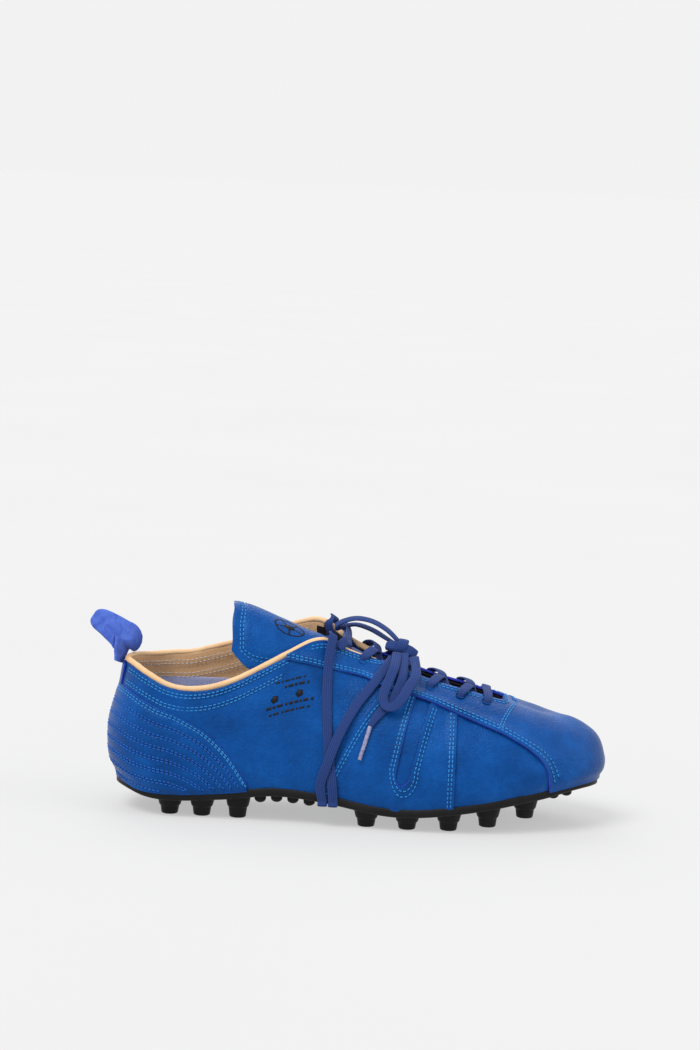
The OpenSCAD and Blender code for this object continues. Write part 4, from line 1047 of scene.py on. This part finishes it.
# sole: plate thickness, height of a stud's root in it, and the nubs' height and radius, in mm
sole = dict(plate=3.8, root=1.2, nubTall=6.2, nubR=3.3)
# half of the plate's section: share of the half width, and depth below the sole edge
plateHalf = [(0, -.05), (.5, -.05), (1, -.05), (1.004, -.5), (1.012, -1.4), (1.012, -3.4), (.998, -4.6),
             (.975, -5), (.9, -5), (.86, -4.9), (.84, -3.8), (.4, -3.8), (0, -3.8)]
plateSection = [(-1, -.05), (-.5, -.05)] + plateHalf + [(-r, z) for r, z in plateHalf[-2:1:-1]]


def plateShape(u, w):
    # a closed section swept along the shoe: flat top, rounded rim edge, deeper rim, thinner middle
    t = mix(place(.0006, 1), place(.9994, 1), u)
    s = share(t)
    sec = np.array(plateSection)
    f = w * (len(sec) - 1)
    i = np.clip(np.round(f).astype(int), 0, len(sec) - 1)
    r, z = sec[i, 0], sec[i, 1]
    half = baseW(s, np.sign(r)) * ends(s) + 2
    x = at(place(s, 1), np.zeros_like(s))[..., 0]
    # the ends reach on past the upper as the sides do
    x = x + 2 * (ease((s - .94) / .06) - ease((.06 - s) / .06)) * np.clip(-z * 2, 0, 1)
    p = np.stack([x, r * half, soleZ(s) + z], -1)
    centre = np.stack([x, 0 * x, soleZ(s) - 2.4], -1)
    return p, p - centre


plate = gridShape("outsole", 120, 24, plateShape, [soleRubber])
closeEnds(plate, True)
mount(plate, "shoe", "sole_rubber", "outsole")

# share of the length, share of the half width, and how far the ground face stands up at the toe
heelStuds = [(.12, .62), (.192, .66), (.265, .68)]
outerStuds = [(.525, .76, 0), (.607, .78, 0), (.69, .78, .5), (.77, .76, 3), (.85, .68, 7.5)]
innerStuds = [(.545, .74, 0), (.63, .76, 0), (.715, .78, 1), (.8, .76, 4.5), (.872, .66, 9)]
nubSpots = [(.31, .78), (.343, .78), (.376, .78), (.409, .78), (.912, .5), (.94, .52)]


def lathe(bm, profile, spot):
    # a turned shape from rows of (radius, height), in mm
    verts = [bm.verts.new((r / 1000, 0, z / 1000)) for r, z in profile]
    edges = [bm.edges.new((a, b)) for a, b in zip(verts, verts[1:])]
    bmesh.ops.spin(bm, geom=verts + edges, cent=(0, 0, 0), axis=(0, 0, 1), angle=2 * math.pi,
                   steps=28, use_merge=True)
    new = set(verts)
    for f in bm.faces:
        if not f.tag:
            f.tag = True
            new.update(f.verts)
    bmesh.ops.translate(bm, verts=list(new), vec=Vector(spot) / 1000)


def studRows(rows, side):
    for r in rows:
        s, ground = r[0], r[2] if len(r) > 2 else 0
        y = side * r[1] * float(baseW(s, side) * ends(s))
        yield s, float(at(place(s, 1), np.float64(0))[0]), y, ground


def rubberPiece(bm, name, node):
    bmesh.ops.remove_doubles(bm, verts=bm.verts, dist=1e-6)
    bmesh.ops.recalc_face_normals(bm, faces=bm.faces)
    o = finishMesh(bm, name, [soleRubber])
    mount(o, "shoe", "sole_rubber", node)
    return o


def studs(name, groups, node):
    # stepped studs: a ground face, a waist at under half height, and a flare into the plate
    bm = bmesh.new()
    for rows, side in groups:
        for s, x, y, ground in studRows(rows, side):
            h = float(soleZ(s)) - sole["plate"] - ground
            high = h + sole["root"]
            profile = [(0, 0), (4.1, 0), (4.55, .15), (4.8, .6), (5.35, h * .38), (5.5, h * .42),
                       (6, h * .45), (6.3, h * .5), (7.3, h * .84), (7.8, h * .95), (8.4, h),
                       (8.4, high), (0, high)]
            lathe(bm, profile, (x, y, ground))
    o = rubberPiece(bm, name, node)
    edge = o.modifiers.new("mouldRadius", "BEVEL")
    edge.width = .0003
    edge.segments = 2
    edge.limit_method = "ANGLE"
    edge.angle_limit = math.radians(28)


studs("heelStuds", [(heelStuds, -1), (heelStuds, 1)], "heel_studs")
studs("forefootStuds", [(outerStuds, -1), (innerStuds, 1)], "forefoot_studs")
bm = bmesh.new()
for side in (-1, 1):
    for s, x, y, _ in studRows(nubSpots, side):
        lowest = float(soleZ(s)) - sole["plate"] - sole["nubTall"]
        profile = [(sole["nubR"] * math.sin(a), 2.3 * (1 - math.cos(a)))
                   for a in np.radians([0, 25, 45, 65, 80, 90])]
        high = sole["nubTall"] + sole["root"]
        lathe(bm, profile + [(sole["nubR"] + .5, high), (0, high)], (x, y, lowest))
rubberPiece(bm, "soleNubs", "sole_nubs")
print("sole made")

# stitches, in mm: one every pitch, its length and thread radius, and the needle hole's radius
thread = dict(pitch=2.6, long=1.95, r=.34, hole=.42)


def pointsAndFaces(bm):
    bm.verts.ensure_lookup_table()
    v = np.array([x.co[:] for x in bm.verts])
    f = [[x.index for x in face.verts] for face in bm.faces]
    bm.free()
    return v, f


bm = bmesh.new()
bmesh.ops.create_cone(bm, cap_ends=True, segments=6, radius1=thread["r"] / 1000,
                      radius2=thread["r"] / 1000, depth=thread["long"] / 1000)
rims = [e for e in bm.edges if abs(e.verts[0].co.z - e.verts[1].co.z) < 1e-6]
bmesh.ops.bevel(bm, geom=rims, offset=.00018, segments=1, profile=.5, affect="EDGES", material=-1)
stitchVerts, stitchFaces = pointsAndFaces(bm)
bm = bmesh.new()
bmesh.ops.create_circle(bm, cap_ends=True, segments=6, radius=thread["hole"] / 1000)
holeVerts, holeFaces = pointsAndFaces(bm)
punched = []


def sewRow(store, fine, lift=.1, holes=True):
    # stitches along a fine line of (points, normals), with a needle hole between each two: a flat disc whose
    # dark colour is painted shade
    pts, nor = fine
    pitch = thread["pitch"]
    far = np.concatenate([[0], np.cumsum(np.linalg.norm(np.diff(pts, axis=0), axis=1))])
    for k in range(int(far[-1] / pitch)):
        d = (k + .5) * pitch
        p, a, b, hole = [np.array([np.interp(x, far, pts[:, j]) for j in range(3)])
                         for x in (d, d - .6, d + .6, d + pitch / 2)]
        n = unit(np.array([np.interp(d, far, nor[:, j]) for j in range(3)]))
        z = unit(b - a + n * .06 * (1 if k % 2 else -1))
        x = unit(np.cross(n, z))
        y = np.cross(z, x)
        store.append(stitchVerts @ np.stack([x, y, z], 1).T + (p + n * lift) / 1000)
        if holes:
            punched.append(holeVerts @ np.stack([x, z, n], 1).T + (hole + n * .05) / 1000)


def sewn(name, store, material, body="shoe", slot="blue_leather", faces=stitchFaces):
    # all copies of one small shape as one piece
    n = len(store[0])
    me = bpy.data.meshes.new(name)
    me.from_pydata(np.concatenate(store).tolist(), [],
                   [[i + k * n for i in f] for k in range(len(store)) for f in faces])
    me.materials.append(material)
    me.shade_smooth()
    o = bpy.data.objects.new(name, me)
    bpy.context.scene.collection.objects.link(o)
    mount(o, body, slot)
    print(name, len(store))


def seamLine(side, s, v, off):
    # points and normals along a row on one side's leather
    s, v = np.asarray(s, float), np.asarray(v, float)
    t = place(s, side)
    return skin(t, v, off(s, side, v)), normal(t, np.clip(v, 0, 1))


blueRows, deepRows = [], []
for side in (-1, 1):
    # collar rows under the binding
    for depth in (3.6, 5.3, 10.6, 12.3):
        s = np.linspace(.012, .365 - depth * .0012, 240)
        v = 1 - (depth + bindR) / wallH(s)
        sewRow(blueRows, seamLine(side, s, v, quarterOff))
    # facing and vamp seam, two rows above the cut edge
    for above in (1.6, 3.4):
        s = np.concatenate([np.linspace(.352, .86, 420), .86 + .034 * np.linspace(0, 1, 60) ** .7])
        v = curve(vampSeam, s) + above / wallH(s) / 1.1
        bent = s + np.where(s > .84, above / shoe["length"] * ease((s - .84) / .04), 0)
        sewRow(blueRows, seamLine(side, np.minimum(bent, .91), v, vampOff))
    # rear and front edges of the side panel
    q = np.linspace(0, 1, 160)
    for inset in (1.8, 3.6):
        s = waistSeam(q) + inset / shoe["length"]
        sewRow(blueRows, seamLine(side, s, q * curve(vampSeam, s), panelOff))
    for inset in (1.8, 3.6):
        s = np.full_like(q, panelFront - inset / shoe["length"])
        sewRow(blueRows, seamLine(side, s, q * curve(vampSeam, s), panelOff))
    # round the window: down its rear edge, round its foot, and up its front edge
    for outset in (1.7, 3.5):
        footV = windowFoot + .065
        q = np.linspace(1, footV / .6, 120)
        rear = windowMid(q) - windowHalf((q * .6 - windowFoot) / .5 + .2) - outset / shoe["length"]
        front = 2 * windowMid(q) - rear
        a = np.linspace(np.pi, 2 * np.pi, 60)
        r = .0155 * shoe["length"] + outset
        foot = windowMid(np.float64(footV / .6)) + r / shoe["length"] * np.cos(a)
        s = np.concatenate([rear, foot, front[::-1]])
        v = np.concatenate([q * curve(vampSeam, rear), footV + r / 68 * np.sin(a),
                            (q * curve(vampSeam, front))[::-1]])
        sewRow(blueRows, seamLine(side, s, v, panelOff))
    # facing edge rows by the eyelets, turning round the throat's end
    for inset in (2.0, 3.8):
        s = np.linspace(.40, .80, 300)
        v = curve(facingEdge, s) - (inset + 2.6 * (1 - ease((s - .52) / .04))) / wallH(s)
        turn = np.radians(np.linspace(5, 90, 50))
        start = v[-1]
        s = np.concatenate([s, .80 + (.035 + inset / shoe["length"]) * np.sin(turn)])
        v = np.concatenate([v, 1 - (1 - start) * np.cos(turn)])
        sewRow(blueRows, seamLine(side, s, v, vampOff))
    # heel overlay: its edge rows and the quilting
    for k in range(quilt["rows"]):
        for twin in (0, 1.5):
            drop = quilt["first"] + k * quilt["gap"] + twin - .75
            s = np.linspace(.0005, .29, 260)
            v = curve(overlayEdge, s) - drop / quilt["tall"]
            ok = v > .012
            if ok.sum() > 20:
                sewRow(blueRows if k == 0 else deepRows, seamLine(side, s[ok], v[ok], overlayOff))
# rows across the vamp in front of the throat
for fwd in (0, 1.9):
    for side in (-1, 1):
        u = np.linspace(0, 1, 120)
        s = .785 + fwd / shoe["length"] + .1 * u ** 1.35
        sewRow(blueRows, seamLine(side, s, mix(.49, .985, u), vampOff))
sewn("seamStitches", blueRows, blueThread)
sewn("quiltStitches", deepRows, darkThread)
sewn("needleHoles", punched, needleHoleShade, faces=holeFaces)

paleRows = []
for side in (-1, 1):
    for depth in (5.5, 7.2, 12.2, 13.9):
        s = np.linspace(.01, .40, 240)
        v = 1 - depth / wallH(s)
        sewRow(paleRows, seamLine(side, s, v, lambda s, sd, v: linerFace + 0 * s), -.15, False)
punched.clear()
sewn("liningStitches", paleRows, paleThread, slot="tan_leather")

tongueRows = []
for inset in (4.6, 6.4):
    # down one edge, along the free end, and back
    a, b = inset / tongueSize["long"], inset / tongueSize["wide"]
    u = np.concatenate([np.linspace(.75, a, 260), np.full(120, a), np.linspace(a, .75, 260)])
    q = np.concatenate([np.full(260, b), np.linspace(b, 1 - b, 120), np.full(260, 1 - b)])
    sewRow(tongueRows, tongueShape(u, q))
sewn("tongueStitches", tongueRows, blueThread, "tongue")
sewn("tongueNeedleHoles", punched, needleHoleShade, "tongue", faces=holeFaces)
print("stitches made")

# prints: plain marks of flat ink, laid out flat in millimetres and then laid on the leather
sideInk = dict(s=.3725, v=.575, dash=(2.2, 1.3, 2.8, 1.7, 3.2, 1.2, 2.4), gap=.75,
               lines=[(-11, 9, 15.6, 1.0), (-6, 11, 12.0, 1.5), (-16, 12, 2.2, 1.6), (-14.5, 11, -1.6, 1.2)],
               patches=[(-11.5, 7.3, 2.4), (2.5, 7.3, 2.4)])
tongueInk = dict(u=.2, q=.36, ring=8.4, ringWide=1.0, patch=3.5)


def inkFilm(name, bm, lay, body):
    # lays the flat marks on the leather that lay describes
    flat = np.array([v.co[:] for v in bm.verts])
    pts = lay(flat[:, 0], flat[:, 1])
    for v, q in zip(bm.verts, pts / 1000):
        v.co = q
    o = finishMesh(bm, name, [blackInk])
    film = o.modifiers.new("inkFilm", "SOLIDIFY")
    film.thickness = .00006
    film.offset = 1
    mount(o, body, "blue_leather")


def inkBar(bm, x0, x1, y0, y1, turn=0.0):
    spot = Matrix.Translation(((x0 + x1) / 2, (y0 + y1) / 2, 0))
    size = Matrix.Diagonal(((x1 - x0) / 2, (y1 - y0) / 2, 1, 1))
    move = Matrix.Rotation(turn, 4, "Z") @ spot @ size
    bmesh.ops.create_grid(bm, x_segments=6, y_segments=3, size=1, matrix=move)


def onQuarter(x, y):
    s = sideInk["s"] + x / shoe["length"]
    v = sideInk["v"] + y / wallH(s)
    t = place(s, -1)
    p0 = at(t, v)
    d = quarterOff(s, -1, v) + wrinkle(p0, 22, .55, 1.0) + wrinkle(p0, 8, .55 * .35, 8.0) + .06
    return skin(t, v, d)


def onTongue(x, y):
    p, n = tongueShape(np.clip(tongueInk["u"] + x / 152, 0, 1), np.clip(tongueInk["q"] - y / 96, 0, 1))
    return p + n * .06


bm = bmesh.new()
for row, (x, end, y, tall) in enumerate(sideInk["lines"]):
    k = row
    while x + sideInk["dash"][k % 7] < end:
        dash = sideInk["dash"][k % 7]
        inkBar(bm, x, x + dash, y, y + tall)
        x += dash + sideInk["gap"] * (2 if k % 5 == 4 else 1)
        k += 1
for x, y, r in sideInk["patches"]:
    spot = Matrix.Translation((x, y, 0)) @ Matrix.Rotation(math.radians(90), 4, "Z")
    bmesh.ops.create_circle(bm, cap_ends=True, cap_tris=True, segments=5, radius=r, matrix=spot)
inkFilm("sidePrint", bm, onQuarter, "shoe")

bm = bmesh.new()
made = bmesh.ops.create_circle(bm, segments=48, radius=tongueInk["ring"])
rim = bmesh.ops.extrude_edge_only(bm, edges=list({e for v in made["verts"] for e in v.link_edges}))
bmesh.ops.scale(bm, vec=(1 - tongueInk["ringWide"] / tongueInk["ring"],) * 3,
                verts=[g for g in rim["geom"] if isinstance(g, bmesh.types.BMVert)])
bmesh.ops.create_circle(bm, cap_ends=True, cap_tris=True, segments=5, radius=tongueInk["patch"])
for k in range(5):
    inkBar(bm, tongueInk["patch"] - .4, tongueInk["ring"] - .5, -.5, .5, 2 * math.pi * (k + .25) / 5)
inkFilm("tonguePrint", bm, onTongue, "tongue")
print("prints made")

# pieces kept from the frame
kept = {"shank": springSteel, "sole_filler": fibreBoard, "lasting_board": fibreBoard,
        "toe_puff": puffSheet, "heel_counter": puffSheet,
        "facing_backing_lateral": backingCloth, "facing_backing_medial": backingCloth}
for node, mat in kept.items():
    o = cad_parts[node]
    if not o.material_slots:
        o.data.materials.append(mat)
    for m in o.material_slots:
        m.material = mat
